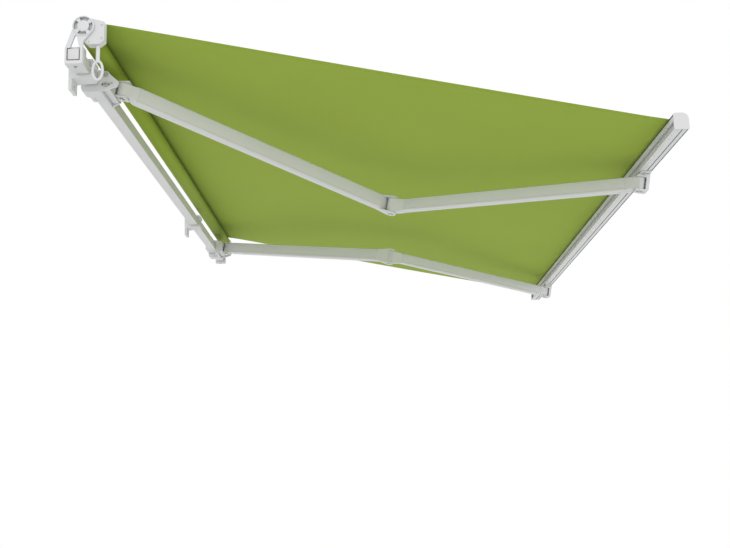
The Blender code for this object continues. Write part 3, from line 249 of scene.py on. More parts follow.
# Shared by coats and metals: bright where an edge turns sharply and hands or tools rub it.
rubbed_edges, rub_in, rub_out = named_tree(
    "ShaderNodeTree",
    "rubbed_edges",
    [("Width", FLOAT, 0.0012), ("Patchiness", FLOAT, 40.0)],
    [("Edge", FLOAT)],
)
rub_bevel = add_node(rubbed_edges, "ShaderNodeBevel", {"Radius": rub_in.outputs["Width"]}, samples=4)
rub_facing = add_node(rubbed_edges, "ShaderNodeNewGeometry")
rub_dot = add_node(
    rubbed_edges,
    "ShaderNodeVectorMath",
    {0: rub_bevel.outputs["Normal"], 1: rub_facing.outputs["Normal"]},
    operation="DOT_PRODUCT",
)
rub_turned = math_node(rubbed_edges, "SUBTRACT", 1.0, rub_dot.outputs["Value"])
rub_place = add_node(rubbed_edges, "ShaderNodeTexCoord")
rub_noise = add_node(
    rubbed_edges,
    "ShaderNodeTexNoise",
    {"Vector": rub_place.outputs["Object"], "Scale": rub_in.outputs["Patchiness"]},
)
rub_spots = math_node(rubbed_edges, "MULTIPLY", rub_turned, rub_noise.outputs["Fac"])
rub_range = add_node(
    rubbed_edges,
    "ShaderNodeMapRange",
    {"From Min": RUB_RANGE[0], "From Max": RUB_RANGE[1], "Value": rub_spots},
)
feed(rubbed_edges, rub_out, {"Edge": rub_range.outputs["Result"]})

# Shared by every finish: how deep a point lies in a corner, gap or groove, which sets how much painted
# shade it takes.
painted_shade_depth, shelter_in, shelter_out = named_tree(
    "ShaderNodeTree", "painted_shade_depth", [("Reach", FLOAT, 0.012)], [("Depth", FLOAT)]
)
shelter_rays = add_node(
    painted_shade_depth, "ShaderNodeAmbientOcclusion", {"Distance": shelter_in.outputs["Reach"]}, samples=6
)
shelter_range = add_node(
    painted_shade_depth,
    "ShaderNodeMapRange",
    {"From Min": SHELTER_RANGE[0], "From Max": SHELTER_RANGE[1], "Value": shelter_rays.outputs["AO"]},
)
feed(painted_shade_depth, shelter_out, {"Depth": shelter_range.outputs["Result"]})


def shade(colour, factor):
    """The colour made lighter or darker, with full alpha."""
    return (*(min(1.0, channel * factor) for channel in colour), 1.0)


def colour_mix(tree, factor, first, second, blend="MIX"):
    """The output of a Mix node on two colours."""
    inputs = {"Factor": factor, "A": first, "B": second}
    return add_node(tree, "ShaderNodeMix", inputs, data_type="RGBA", blend_type=blend).outputs["Result"]


def shaded_in_corners(tree, colour, reach, amount, shade_colour=CORNER_SHADE_COLOUR):
    """The colour darkened in its corners and gaps: painted shade."""
    corners = add_node(tree, "ShaderNodeGroup", {"Reach": reach}, node_tree=painted_shade_depth)
    share = math_node(tree, "MULTIPLY", corners.outputs["Depth"], amount)
    return colour_mix(tree, share, colour, shade_colour)


def surface(
    name,
    colour,
    tones,
    roughness,
    metallic=0.0,
    cloud=6.0,
    grain=900.0,
    relief=0.00002,
    reach=0.010,
    amount=0.75,
):
    """A coat, plastic or metal, cloudy between a dark and a light tone and fine grained.

    Its edges are rubbed to a third tone, and its corners are darkened with painted shade as far as the
    reach.
    """
    dark, light, edge = (shade(colour, tone) for tone in tones)
    material = bpy.data.materials.new(name)
    material.use_nodes = True
    tree = material.node_tree
    skin = add_node(
        tree, "ShaderNodeGroup", {"Cloud Scale": cloud, "Grain Scale": grain}, node_tree=skin_grain
    )
    rub = add_node(tree, "ShaderNodeGroup", node_tree=rubbed_edges)
    clouds = colour_mix(tree, skin.outputs["Cloud"], dark, light)
    worn = colour_mix(tree, rub.outputs["Edge"], clouds, edge)
    gloss = add_node(
        tree,
        "ShaderNodeMapRange",
        {
            "To Min": roughness - GLOSS_SPREAD,
            "To Max": roughness + GLOSS_SPREAD,
            "Value": skin.outputs["Grain"],
        },
    )
    bump = add_node(
        tree,
        "ShaderNodeBump",
        {"Strength": GRAIN_STRENGTH, "Distance": relief, "Height": skin.outputs["Grain"]},
    )
    finish = {
        "Metallic": metallic,
        # Painted shade darkens the base colour in corners and gaps.
        "Base Color": shaded_in_corners(tree, worn, reach, amount),
        "Roughness": gloss.outputs["Result"],
        "Normal": bump.outputs["Normal"],
    }
    feed(tree, tree.nodes["Principled BSDF"], finish)
    return material


def flats_joined(bm):
    """The mesh with shared corners, and with one face where neighbours are flat."""
    bmesh.ops.remove_doubles(bm, verts=bm.verts[:], dist=MERGE_WITHIN)
    bmesh.ops.dissolve_limit(bm, angle_limit=FLAT_ANGLE, verts=bm.verts[:], edges=bm.edges[:])
    return bm


def merged_copy(node):
    """A CAD node's mesh as flat faces that share their corners."""
    bm = bmesh.new()
    bm.from_mesh(nodes[node].data)
    return flats_joined(bm)


def round_edges(bm, width, segments):
    """The mesh's sharp edges bevelled."""
    sharp = [edge for edge in bm.edges if edge.calc_face_angle(0.0) > SHARP_ANGLE]
    bmesh.ops.bevel(
        bm, geom=sharp, offset=width, segments=segments, profile=0.5, affect="EDGES", clamp_overlap=True
    )


def smooth_shaded(mesh, smooth_under):
    """The mesh shaded smooth, apart from edges that turn by more than the angle in degrees."""
    mesh.shade_smooth()
    mesh.set_sharp_from_angle(angle=math.radians(smooth_under))


def plain_piece(name, bm, material, smooth_under=40.0):
    """A finished mesh as an object at the origin."""
    mesh = mesh_from(name, bm)
    mesh.materials.append(material)
    smooth_shaded(mesh, smooth_under)
    return put_in_scene(name, mesh)


def settle_modifiers(piece):
    """The object's modifiers made part of its mesh."""
    bpy.context.view_layer.update()
    evaluated = piece.evaluated_get(bpy.context.evaluated_depsgraph_get())
    mesh = bpy.data.meshes.new_from_object(evaluated)
    piece.modifiers.clear()
    piece.data = mesh
    return piece


def box_piece(name, low, high):
    """A box from corner to corner, as a tool that is taken away after use."""
    bm = bmesh.new()
    bmesh.ops.create_cube(bm, size=1.0)
    for vert in bm.verts:
        vert.co = Vector([low[i] if vert.co[i] < 0 else high[i] for i in range(3)])
    return put_in_scene(name, mesh_from(name, bm))


def carved(bm, boxes):
    """The mesh with boxes cut out of it."""
    piece = put_in_scene("carved", mesh_from("carved", bm))
    tools = []
    for i, (low, high) in enumerate(boxes):
        tools.append(box_piece("carving_tool_%d" % i, low, high))
        modifier = piece.modifiers.new("carve_%d" % i, "BOOLEAN")
        modifier.operation = "DIFFERENCE"
        modifier.solver = "EXACT"
        modifier.object = tools[-1]
    settle_modifiers(piece)
    result = bmesh.new()
    result.from_mesh(piece.data)
    for made in tools + [piece]:
        bpy.data.objects.remove(made)
    return flats_joined(result)


def softened(node, material, width, segments=2, boxes=(), shift=None):
    """The CAD node's shape with its edges rounded off, in the node's place on its body."""
    bm = merged_copy(node)
    if shift is not None:
        for vert in bm.verts:
            vert.co = shift(vert.co)
    if boxes:
        bm = carved(bm, boxes)
    round_edges(bm, width, segments)
    piece = plain_piece(node + "_shape", bm, material)
    weighted = piece.modifiers.new("flat_faces", "WEIGHTED_NORMAL")
    weighted.keep_sharp = True
    settle_modifiers(piece)
    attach(piece, body_of[node])
    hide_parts(node)


def dress(node, material):
    """A CAD node that stays as it is gets its finish."""
    data = nodes[node].data
    data.materials.clear()
    data.materials.append(material)


def lofted(name, loops, material, width):
    """A closed solid through loops of equal length, with rounded edges."""
    bm = bmesh.new()
    rings = [[bm.verts.new(place) for place in ring] for ring in loops]
    for low_ring, high_ring in zip(rings, rings[1:]):
        for i in range(len(low_ring)):
            j = (i + 1) % len(low_ring)
            bm.faces.new((low_ring[i], low_ring[j], high_ring[j], high_ring[i]))
    bm.faces.new(rings[0][::-1])
    bm.faces.new(rings[-1])
    bmesh.ops.recalc_face_normals(bm, faces=bm.faces[:])
    round_edges(bm, width, 2)
    return plain_piece(name, bm, material)


def middle_across(low, high):
    """A box's middle as seen along the bars, in y and z."""
    return (low.y + high.y) / 2, (low.z + high.z) / 2


grey_coat = surface("light_grey_coat", COAT_COLOUR, COAT_TONES, COAT_ROUGHNESS)
pale_plastic = surface("pale_plastic", PLUG_COLOUR, PLUG_TONES, 0.5, grain=1600.0)
# Castings take a lighter painted shade in their gaps than the other coats, over a longer reach.
cast_coat = surface(
    "coated_casting",
    COAT_COLOUR,
    CAST_TONES,
    0.48,
    cloud=14.0,
    grain=420.0,
    relief=0.00006,
    reach=0.014,
    amount=0.50,
)
bar_low, bar_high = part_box("torsion_bar")
bar_y, bar_z = middle_across(bar_low, bar_high)
bar_middle_x = (bar_low.x + bar_high.x) / 2
bar_half = (bar_high.z - bar_low.z) / 2


def end_drawn_in(place):
    """A point of the bar, moved so that both ends lie behind the plugs' faces."""
    inward = PLUG_RECESS if place.x < bar_middle_x else -PLUG_RECESS
    return Vector((place.x + inward, place.y, place.z))


softened("torsion_bar", grey_coat, BAR_ROUNDING, 3, shift=end_drawn_in)
for side in ("left", "right"):
    plug_low, plug_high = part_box("bar_plug_" + side)
    if side == "left":
        outer, inner, inward = plug_low.x, plug_high.x, 1.0
    else:
        outer, inner, inward = plug_high.x, plug_low.x, -1.0
    flange_end = outer + inward * PLUG_RECESS
    flange_start = outer + inward * (PLUG_RECESS - PLUG_FLANGE)
    stations = (
        (outer, PLUG_FACE / 2),
        (flange_start, PLUG_FACE / 2),
        (flange_start, bar_half),
        (flange_end, bar_half),
        (flange_end, bar_half - PLUG_TAIL_PLAY),
        (inner, bar_half - PLUG_TAIL_PLAY),
    )
    loops = [
        [(x, bar_y + a * half, bar_z + b * half) for a, b in ((-1, -1), (1, -1), (1, 1), (-1, 1))]
        for x, half in stations
    ]
    plug = lofted("bar_plug_%s_shape" % side, loops, pale_plastic, PLUG_ROUNDING)
    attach(plug, "root")
    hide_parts("bar_plug_" + side)


# Wall brackets
# Each is an extruded plate on the wall with a shelf and a lip under the bar. A finger closes it
# from above, drawn down by a screw. All are powder coated like the bar.
WALL_BRACKET_ROUNDING = 0.0010
for side in ("left", "right"):
    softened("wall_bracket_" + side, cast_coat, WALL_BRACKET_ROUNDING)
    softened("bar_clamp_" + side, cast_coat, WALL_BRACKET_ROUNDING)


# End brackets
# A cast plate at each end of the bar: a ring with four slots round the roller's end, two struts,
# and a square socket that slips over the bar's end. A rim and a hub stand proud on the ring.
END_BRACKET_ROUNDING = 0.0009
SEAT_DEPTH = 0.001
RIM_INNER = 0.0292
RIM_OUTER = 0.0327
RIM_RISE = 0.0022
RIM_INNER_EASE = 0.0006
RIM_OUTER_EASE = 0.0010
RIM_STEPS = 72
HUB_RADIUS = 0.0178
HUB_RISE = {"left": 0.0030, "right": 0.0021}
HUB_FLAT_SHARE = 0.55
HUB_CROWN_SHARE = 0.42
HUB_CROWN_FALL = 0.0012
HUB_EDGE_FALL = 0.0020
HUB_STEPS = 64
CROWN_STEPS = 4
roller_low, roller_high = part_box("roller_tube")
roller_y, roller_z = middle_across(roller_low, roller_high)


def turned_on_face(name, face_x, out, stations, steps, closed_profile=False):
    """A casting turned about the roller's axis. Stations are (height over the face, radius)."""
    bm = bmesh.new()
    rings = []
    for height, radius in stations:
        x = face_x + out * height
        angles = [2 * math.pi * i / steps for i in range(steps)] if radius else [0.0]
        places = [(x, roller_y + radius * math.cos(a), roller_z + radius * math.sin(a)) for a in angles]
        rings.append([bm.verts.new(place) for place in places])
    pairs = list(zip(rings, rings[1:]))
    if closed_profile:
        pairs.append((rings[-1], rings[0]))
    for first, second in pairs:
        for i in range(steps):
            corners = [ring[k % len(ring)] for ring, k in ((first, i), (first, (i + 1) % steps))]
            corners += [ring[k % len(ring)] for ring, k in ((second, (i + 1) % steps), (second, i))]
            bm.faces.new(list(dict.fromkeys(corners)))
    bmesh.ops.recalc_face_normals(bm, faces=bm.faces[:])
    piece = plain_piece(name, bm, cast_coat)
    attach(piece, "root")


rim = [
    (-SEAT_DEPTH, RIM_INNER),
    (RIM_RISE - RIM_INNER_EASE, RIM_INNER),
    (RIM_RISE, RIM_INNER + RIM_INNER_EASE),
    (RIM_RISE, RIM_OUTER - RIM_OUTER_EASE),
    (RIM_RISE - RIM_OUTER_EASE, RIM_OUTER),
    (-SEAT_DEPTH, RIM_OUTER),
]
for side in ("left", "right"):
    softened("end_bracket_" + side, cast_coat, END_BRACKET_ROUNDING)
    face_low, face_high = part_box("end_bracket_" + side)
    face_x, out = (face_low.x, -1.0) if side == "left" else (face_high.x, 1.0)
    turned_on_face("end_ring_rim_" + side, face_x, out, rim, RIM_STEPS, True)
    # The right hub is lower, so that the idler pin's head stands on it.
    rise = HUB_RISE[side]
    hub = [(rise, 0.0)]
    for i in range(CROWN_STEPS + 1):
        share = i / CROWN_STEPS
        hub.append(
            (rise - HUB_CROWN_FALL * share**2, HUB_RADIUS * (HUB_FLAT_SHARE + HUB_CROWN_SHARE * share))
        )
    hub += [(rise - HUB_EDGE_FALL, HUB_RADIUS), (-SEAT_DEPTH, HUB_RADIUS), (-SEAT_DEPTH, 0.0)]
    turned_on_face("end_ring_hub_" + side, face_x, out, hub, HUB_STEPS)


# Gear case and crank
# The worm gear's moulded case is in two halves with a joint between them. The crank's shank comes
# out below and ends in an oval eye, in which the crank handle hooks.
CASE_ROUNDING = 0.0012
for node in ("gearbox_housing", "gearbox_cover"):
    softened(node, pale_plastic, CASE_ROUNDING, 3)
dress("crank_worm", grey_coat)


# Roller
# A steel tube with a moulded plug in each end. The worm wheel sits on the left plug's shaft and
# the right plug turns on a steel pin in the end bracket.
STEEL_COLOUR = (0.60, 0.60, 0.59)
STEEL_TONES = (0.92, 1.06, 1.2)
IDLER_PIN_ROUNDING = 0.0006
PIN_ROUNDING = 0.0005
zinc_steel = surface(
    "zinc_plated_steel", STEEL_COLOUR, STEEL_TONES, 0.34, metallic=1.0, cloud=60.0, grain=700.0
)
for node in ("roller_tube", "worm_wheel"):
    dress(node, zinc_steel)
for node in ("drive_plug", "idler_plug"):
    dress(node, pale_plastic)
softened("idler_pin", zinc_steel, IDLER_PIN_ROUNDING)


# Cloth
# Woven acrylic, dyed lime green. It leaves the top of the roller, where its last turns are wound,
# and is held taut to the front bar. Its side edges and front edge are folded over on top and sewn.
CLOTH_COLOUR = (0.305, 0.415, 0.052)
DYE_TONES = (0.95, 1.05)
# Painted shade: the cloth darkens towards a deeper tone of its colour where other parts lie close, as
# along the roll.
SHADED_TONE = 0.55
SHADED_REACH = 0.14
SHADED_AMOUNT = 0.75
THREAD_TONES = (0.80, 0.95, 0.95)
CLOTH_THICKNESS = 0.0006
THREAD_PITCH = 0.0011
SLUB_SCALE = (900.0, 14.0, 1.0)
WRAP = math.radians(10)
SAG = 0.004
SAG_AT_SIDES = 0.35
RIPPLES = ((0.0007, 2.3, 0.7, 0.6), (0.0004, 5.1, -1.3, 2.1))  # height, waves across, along, phase
START_LIFT, START_LIFT_WIDTH = 0.0028, 0.050
END_FALL, END_FALL_WIDTH = 0.0016, 0.045
CLOTH_COLUMNS, CLOTH_ROWS = 96, 110
SIDE_HEM = 0.020
FRONT_HEM = 0.038
HEM_GAP = 0.00005
HEM_SETBACK = 0.012
HEM_COLUMNS, SIDE_HEM_ROWS = 4, 90
STITCH_PITCH = 0.006
STITCH_SHARE = 0.38
STITCH_RADIUS = 0.00024
ROW_STEPS = 120
ROW_LATE = 0.025
ROW_INSET = 0.004
LAST_ROW_INSET = 0.003
ROW_END_GAP = 0.002
TRAVEL = Vector((0.0, -0.981992, -0.188924))
GEOMETRY = "NodeSocketGeometry"
MATERIAL = "NodeSocketMaterial"

weave, weave_in, weave_out = named_tree(
    "ShaderNodeTree",
    "plain_weave",
    [("UV", VECTOR, None), ("Pitch", FLOAT, THREAD_PITCH)],
    [("Height", FLOAT), ("Slub", FLOAT)],
)
per_metre = math_node(weave, "DIVIDE", 1.0, weave_in.outputs["Pitch"])
threads = add_node(
    weave, "ShaderNodeVectorMath", {0: weave_in.outputs["UV"], "Scale": per_metre}, operation="SCALE"
)
thread_parts = add_node(weave, "ShaderNodeSeparateXYZ", {0: threads.outputs["Vector"]})
across, along = thread_parts.outputs["X"], thread_parts.outputs["Y"]
crossing = math_node(weave, "ADD", math_node(weave, "FLOOR", across), math_node(weave, "FLOOR", along))
warp_over = math_node(weave, "FLOORED_MODULO", crossing, 2.0)
weft_over = math_node(weave, "SUBTRACT", 1.0, warp_over)
thread_heights = []
for place, over in ((across, warp_over), (along, weft_over)):
    round_share = math_node(weave, "MULTIPLY", math_node(weave, "FRACT", place), math.pi)
    thread_heights.append(math_node(weave, "MULTIPLY", math_node(weave, "SINE", round_share), over))
slub_place = add_node(weave, "ShaderNodeMapping", {"Scale": SLUB_SCALE, "Vector": weave_in.outputs["UV"]})
slub_noise = add_node(
    weave, "ShaderNodeTexNoise", {"Scale": 1.0, "Detail": 2.0, "Vector": slub_place.outputs["Vector"]}
)
woven = {"Height": math_node(weave, "ADD", *thread_heights), "Slub": slub_noise.outputs["Fac"]}
feed(weave, weave_out, woven)


def woven_cloth(name, colour):
    """Dyed woven cloth that follows the piece's own UV map, in metres, with painted shade where other
    parts lie close.
    """
    material = bpy.data.materials.new(name)
    material.use_nodes = True
    tree = material.node_tree
    place = add_node(tree, "ShaderNodeTexCoord").outputs["UV"]
    thread = add_node(tree, "ShaderNodeGroup", {"Pitch": THREAD_PITCH, "UV": place}, node_tree=weave)
    dye = add_node(tree, "ShaderNodeTexNoise", {"Scale": 2.2, "Detail": 3.0, "Vector": place})
    dark, light = (shade(colour, tone) for tone in DYE_TONES)
    dyed = colour_mix(tree, dye.outputs["Fac"], dark, light)
    yarn_mix = math_node(tree, "ADD", thread.outputs["Slub"], thread.outputs["Height"])
    yarn_half = math_node(tree, "MULTIPLY", yarn_mix, 0.5)
    yarn_level = add_node(tree, "ShaderNodeMapRange", {"To Min": 0.90, "To Max": 1.08, "Value": yarn_half})
    yarn = colour_mix(tree, 1.0, dyed, yarn_level.outputs["Result"], "MULTIPLY")
    dull = add_node(
        tree, "ShaderNodeMapRange", {"To Min": 0.86, "To Max": 0.74, "Value": thread.outputs["Height"]}
    )
    bump = add_node(
        tree, "ShaderNodeBump", {"Strength": 0.5, "Distance": 0.0001, "Height": thread.outputs["Height"]}
    )
    finish = {
        "Sheen Weight": 0.03,
        "Sheen Roughness": 0.5,
        "Specular IOR Level": 0.12,
        # Painted shade darkens the base colour near the roll and other close parts.
        "Base Color": shaded_in_corners(tree, yarn, SHADED_REACH, SHADED_AMOUNT, shade(colour, SHADED_TONE)),
        "Roughness": dull.outputs["Result"],
        "Normal": bump.outputs["Normal"],
    }
    feed(tree, tree.nodes["Principled BSDF"], finish)
    return material


lime_cloth = woven_cloth("lime_cloth", CLOTH_COLOUR)
wound_low, wound_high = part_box("wound_fabric")
rod_low, rod_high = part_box("hem_rod")
roll_centre = Vector(middle_across(wound_low, wound_high))
rod_centre = Vector(middle_across(rod_low, rod_high))
roll_radius = (wound_high.z - wound_low.z) / 2
rod_radius = (rod_high.z - rod_low.z) / 2
cloth_left, cloth_right = wound_low.x, wound_high.x
cloth_width = cloth_right - cloth_left

lead_radius = roll_radius + CLOTH_THICKNESS
cloth_end = rod_centre + Vector((rod_radius + CLOTH_THICKNESS / 2, 0.0))
to_end = cloth_end - roll_centre
lead_angle = math.atan2(to_end.y, to_end.x) % (2 * math.pi) - math.acos(lead_radius / to_end.length)
leave = roll_centre + Vector((math.cos(lead_angle), math.sin(lead_angle))) * lead_radius
wrap_length = WRAP * lead_radius
free_length = (cloth_end - leave).length
cloth_length = wrap_length + free_length
free_direction = (cloth_end - leave).normalized()
free_normal = Vector((free_direction.y, -free_direction.x))


def cloth_point(x, distance, lift=0.0):
    """A point of the cloth at rest, so far across and so far along from where it meets the roll."""
    if distance < wrap_length:
        angle = lead_angle - (wrap_length - distance) / lead_radius
        outward = Vector((math.cos(angle), math.sin(angle)))
        place = roll_centre + outward * (lead_radius + lift)
        return Vector((x, place.x, place.y))
    past = distance - wrap_length
    share = past / free_length
    u = (x - cloth_left) / cloth_width
    hold = math.sin(math.pi * share)
    drop = SAG * hold * (SAG_AT_SIDES + (1.0 - SAG_AT_SIDES) * math.sin(math.pi * u))
    ripple = 0.0
    for height, waves_across, waves_along, phase in RIPPLES:
        ripple += height * hold * math.sin(2 * math.pi * (waves_across * u + waves_along * share) + phase)
    rise = START_LIFT * (1.0 - math.exp(-((past / START_LIFT_WIDTH) ** 2))) * (1.0 - share)
    fall = END_FALL * (1.0 - math.exp(-(((free_length - past) / END_FALL_WIDTH) ** 2))) * share
    place = leave + free_direction * past + free_normal * (lift + rise - fall - drop + ripple)
    return Vector((x, place.x, place.y))


def thickened(piece, thickness):
    """The cloth's middle surface given its thickness."""
    solid = piece.modifiers.new("thickness", "SOLIDIFY")
    solid.thickness = thickness
    solid.offset = 0.0
    return settle_modifiers(piece)


def cloth_strip(name, x_low, x_high, start, end, columns, rows, lift=0.0):
    """A rectangle of cloth that follows the canopy, with a UV map in metres."""
    bm = bmesh.new()
    uv = bm.loops.layers.uv.new("cloth_uv")
    grid = []
    for j in range(rows + 1):
        distance = start + (end - start) * j / rows
        row = []
        for i in range(columns + 1):
            x = x_low + (x_high - x_low) * i / columns
            row.append((bm.verts.new(cloth_point(x, distance, lift)), (x - cloth_left, distance)))
        grid.append(row)
    for j in range(rows):
        for i in range(columns):
            corners = (grid[j][i], grid[j][i + 1], grid[j + 1][i + 1], grid[j + 1][i])
            face = bm.faces.new([vert for vert, _ in corners])
            for loop, (_, place) in zip(face.loops, corners):
                loop[uv].uv = place
    return thickened(plain_piece(name, bm, lime_cloth, 60.0), CLOTH_THICKNESS)


hem_start = cloth_length - FRONT_HEM
hem_end = cloth_length - HEM_SETBACK
on_top = CLOTH_THICKNESS + HEM_GAP
canopy = cloth_strip("canopy_cloth", cloth_left, cloth_right, 0.0, cloth_length, CLOTH_COLUMNS, CLOTH_ROWS)
hems = []
for name, *area in (
    ("side_hem_left", cloth_left, cloth_left + SIDE_HEM, 0.0, hem_start, HEM_COLUMNS, SIDE_HEM_ROWS),
    ("side_hem_right", cloth_right - SIDE_HEM, cloth_right, 0.0, hem_start, HEM_COLUMNS, SIDE_HEM_ROWS),
    ("front_hem", cloth_left, cloth_right, hem_start, hem_end, CLOTH_COLUMNS, HEM_COLUMNS),
):
    hems.append(cloth_strip(name, *area, on_top))


def make_real(tree, out, instances, finish):
    """The end of a geometry tree: its instances made real, in one material."""
    real = add_node(tree, "GeometryNodeRealizeInstances", {"Geometry": instances})
    coloured = add_node(
        tree, "GeometryNodeSetMaterial", {"Geometry": real.outputs["Geometry"], "Material": finish}
    )
    feed(tree, out, {"Geometry": coloured.outputs["Geometry"]})


def grown(name, base, tree, values, smooth_under=40.0):
    """What a geometry tree grows on a base mesh, as a plain mesh object."""
    piece = put_in_scene(name, base)
    modifier = piece.modifiers.new("grow", "NODES")
    modifier.node_group = tree
    for item in tree.interface.items_tree:
        if item.item_type == "SOCKET" and item.in_out == "INPUT" and item.name in values:
            modifier[item.identifier] = values[item.name]
    settle_modifiers(piece)
    piece.data.name = name
    smooth_shaded(piece.data, smooth_under)
    return piece


stitch_tree, stitch_in, stitch_out = named_tree(
    "GeometryNodeTree",
    "stitch_row",
    [
        ("Geometry", GEOMETRY, None),
        ("Pitch", FLOAT, STITCH_PITCH),
        ("Thread Radius", FLOAT, STITCH_RADIUS),
        ("Thread", MATERIAL, None),
    ],
    [("Geometry", GEOMETRY)],
)
pitch, thread_radius = stitch_in.outputs["Pitch"], stitch_in.outputs["Thread Radius"]
as_curve = add_node(stitch_tree, "GeometryNodeMeshToCurve", {"Mesh": stitch_in.outputs["Geometry"]})
spaced = add_node(
    stitch_tree,
    "GeometryNodeResampleCurve",
    {"Curve": as_curve.outputs["Curve"], "Length": pitch},
    mode="LENGTH",
)
thread = add_node(stitch_tree, "GeometryNodeMeshUVSphere", {"Segments": 6, "Rings": 4})
stitch_half = math_node(stitch_tree, "MULTIPLY", pitch, STITCH_SHARE)
thread_shape = add_node(
    stitch_tree, "ShaderNodeCombineXYZ", {"X": stitch_half, "Y": thread_radius, "Z": thread_radius}
)
tangent = add_node(stitch_tree, "GeometryNodeInputTangent")
lie_along = add_node(
    stitch_tree, "FunctionNodeAlignRotationToVector", {"Vector": tangent.outputs["Tangent"]}, axis="X"
)
stitch_at = add_node(
    stitch_tree,
    "GeometryNodeInstanceOnPoints",
    {
        "Points": spaced.outputs["Curve"],
        "Instance": thread.outputs["Mesh"],
        "Rotation": lie_along.outputs["Rotation"],
        "Scale": thread_shape.outputs["Vector"],
    },
)
make_real(stitch_tree, stitch_out, stitch_at.outputs["Instances"], stitch_in.outputs["Thread"])

thread_finish = surface("green_thread", CLOTH_COLOUR, THREAD_TONES, 0.7, grain=4000.0)
row_start = wrap_length + ROW_LATE
row_left, row_width = cloth_left + ROW_END_GAP, cloth_width - 2 * ROW_END_GAP
rows = []
for face_lift in (-CLOTH_THICKNESS / 2, on_top + CLOTH_THICKNESS / 2):
    for x in (cloth_left + SIDE_HEM - ROW_INSET, cloth_right - SIDE_HEM + ROW_INSET):
        places = [(x, row_start + (hem_start - row_start) * i / ROW_STEPS) for i in range(ROW_STEPS + 1)]
        rows.append([cloth_point(*place, face_lift) for place in places])
    for distance in (hem_start + ROW_INSET, hem_end - LAST_ROW_INSET):
        places = [(row_left + row_width * i / ROW_STEPS, distance) for i in range(ROW_STEPS + 1)]
        rows.append([cloth_point(*place, face_lift) for place in places])
row_mesh = bpy.data.meshes.new("stitch_rows")
row_verts = [point for points in rows for point in points]
row_firsts = [r * (ROW_STEPS + 1) for r in range(len(rows))]
row_mesh.from_pydata(row_verts, [(k + i, k + i + 1) for k in row_firsts for i in range(ROW_STEPS)], [])
stitches = grown(
    "hem_stitches", row_mesh, stitch_tree, {"Pitch": STITCH_PITCH, "Thread": thread_finish}, 80.0
)

# As the arms fold, the front bar travels back. The cloth, its hems and its stitches ride the root, each
# with a mesh of its own.
for piece in [canopy] + hems + [stitches]:
    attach(piece, "root")
    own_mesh(piece)
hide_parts("canopy")


# Wound cloth
# The last turns of the cloth, rolled tight on the tube. Their edges show as a spiral at the ends.
# Its turns stay a little thinner than their pitch, so that they don't touch.
TURNS = 5
TURN_STEPS = 72
WOUND_THICKNESS = CLOTH_THICKNESS * 0.85
WOUND_SINK = CLOTH_THICKNESS * 0.45
tube_radius = (roller_high.z - roller_low.z) / 2
layer = (roll_radius - tube_radius) / TURNS
roll_bm = bmesh.new()
roll_uv = roll_bm.loops.layers.uv.new("cloth_uv")
spiral = []
for i in range((TURNS - 1) * TURN_STEPS + 1):
    wound_by = 2 * math.pi * i / TURN_STEPS
    angle = lead_angle - wound_by
    radius = roll_radius - WOUND_SINK - layer * wound_by / (2 * math.pi)
    place = roll_centre + Vector((math.cos(angle), math.sin(angle))) * radius
    pair = [roll_bm.verts.new((x, place.x, place.y)) for x in (cloth_left, cloth_right)]
    spiral.append((pair, wound_by * (roll_radius - layer * wound_by / (4 * math.pi))))
for (pair, run), (next_pair, next_run) in zip(spiral, spiral[1:]):
    face = roll_bm.faces.new((pair[0], pair[1], next_pair[1], next_pair[0]))
    corners = ((0, run), (cloth_width, run), (cloth_width, next_run), (0, next_run))
    for loop, place in zip(face.loops, corners):
        loop[roll_uv].uv = place
wound = thickened(plain_piece("wound_cloth", roll_bm, lime_cloth, 60.0), WOUND_THICKNESS)
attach(wound, "roller")
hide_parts("wound_fabric")


# Shoulder brackets
# A cast sleeve clamped round the bar with two cheeks, cut away under the bar beyond its outer end.
# A tilt block swings between the cheeks on a bolt, and a second bolt in a curved slot locks it. Its
# fork holds the arm's pin.
SLEEVE_KEPT = 0.052
SLEEVE_ROUNDING = 0.0012
CASTING_ROUNDING = 0.0008
CUT_PAST = 0.01
UNDER_BAR_GAP = 0.0003
BELOW_SLEEVE, BEHIND_SLEEVE = -0.2, 0.1
for side in ("left", "right"):
    sleeve_low, sleeve_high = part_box("shoulder_bracket_" + side)
    if side == "left":
        open_from, open_to = sleeve_low.x + SLEEVE_KEPT, sleeve_high.x + CUT_PAST
    else:
        open_from, open_to = sleeve_low.x - CUT_PAST, sleeve_high.x - SLEEVE_KEPT
    under_bar = (
        (open_from, bar_low.y - UNDER_BAR_GAP, BELOW_SLEEVE),
        (open_to, BEHIND_SLEEVE, bar_low.z - UNDER_BAR_GAP),
    )
    softened("shoulder_bracket_" + side, cast_coat, SLEEVE_ROUNDING, boxes=[under_bar])
    softened("shoulder_fork_" + side, cast_coat, CASTING_ROUNDING)
    softened("shoulder_pin_" + side, zinc_steel, PIN_ROUNDING)


# Arms
# Each arm is two drawn aluminium profiles with a casting in each end. The upper arm ends in a fork
# that holds the forearm's eye, and a spring inside it pulls the arm open.
HINGE_AXIS = Vector((0.0, TRAVEL.z, -TRAVEL.y))
PROFILE_WALL = 0.0022
PROFILE_CORNER = 0.005
LINE_WIDTH = 0.0014
LINE_DEPTH = 0.0010
LINE_SHAPE = ((-1, 0), (-0.6, 1), (0.6, 1), (1, 0))  # shares of half the width and of the depth
CORNER_STEPS = 4
SIDE_LINES = (-0.62,)
UPPER_FACE_LINES = (-0.45, 0.45)
FOREARM_FACE_LINES = (-0.40, 0.40)
NEAR_AXIS = 0.05


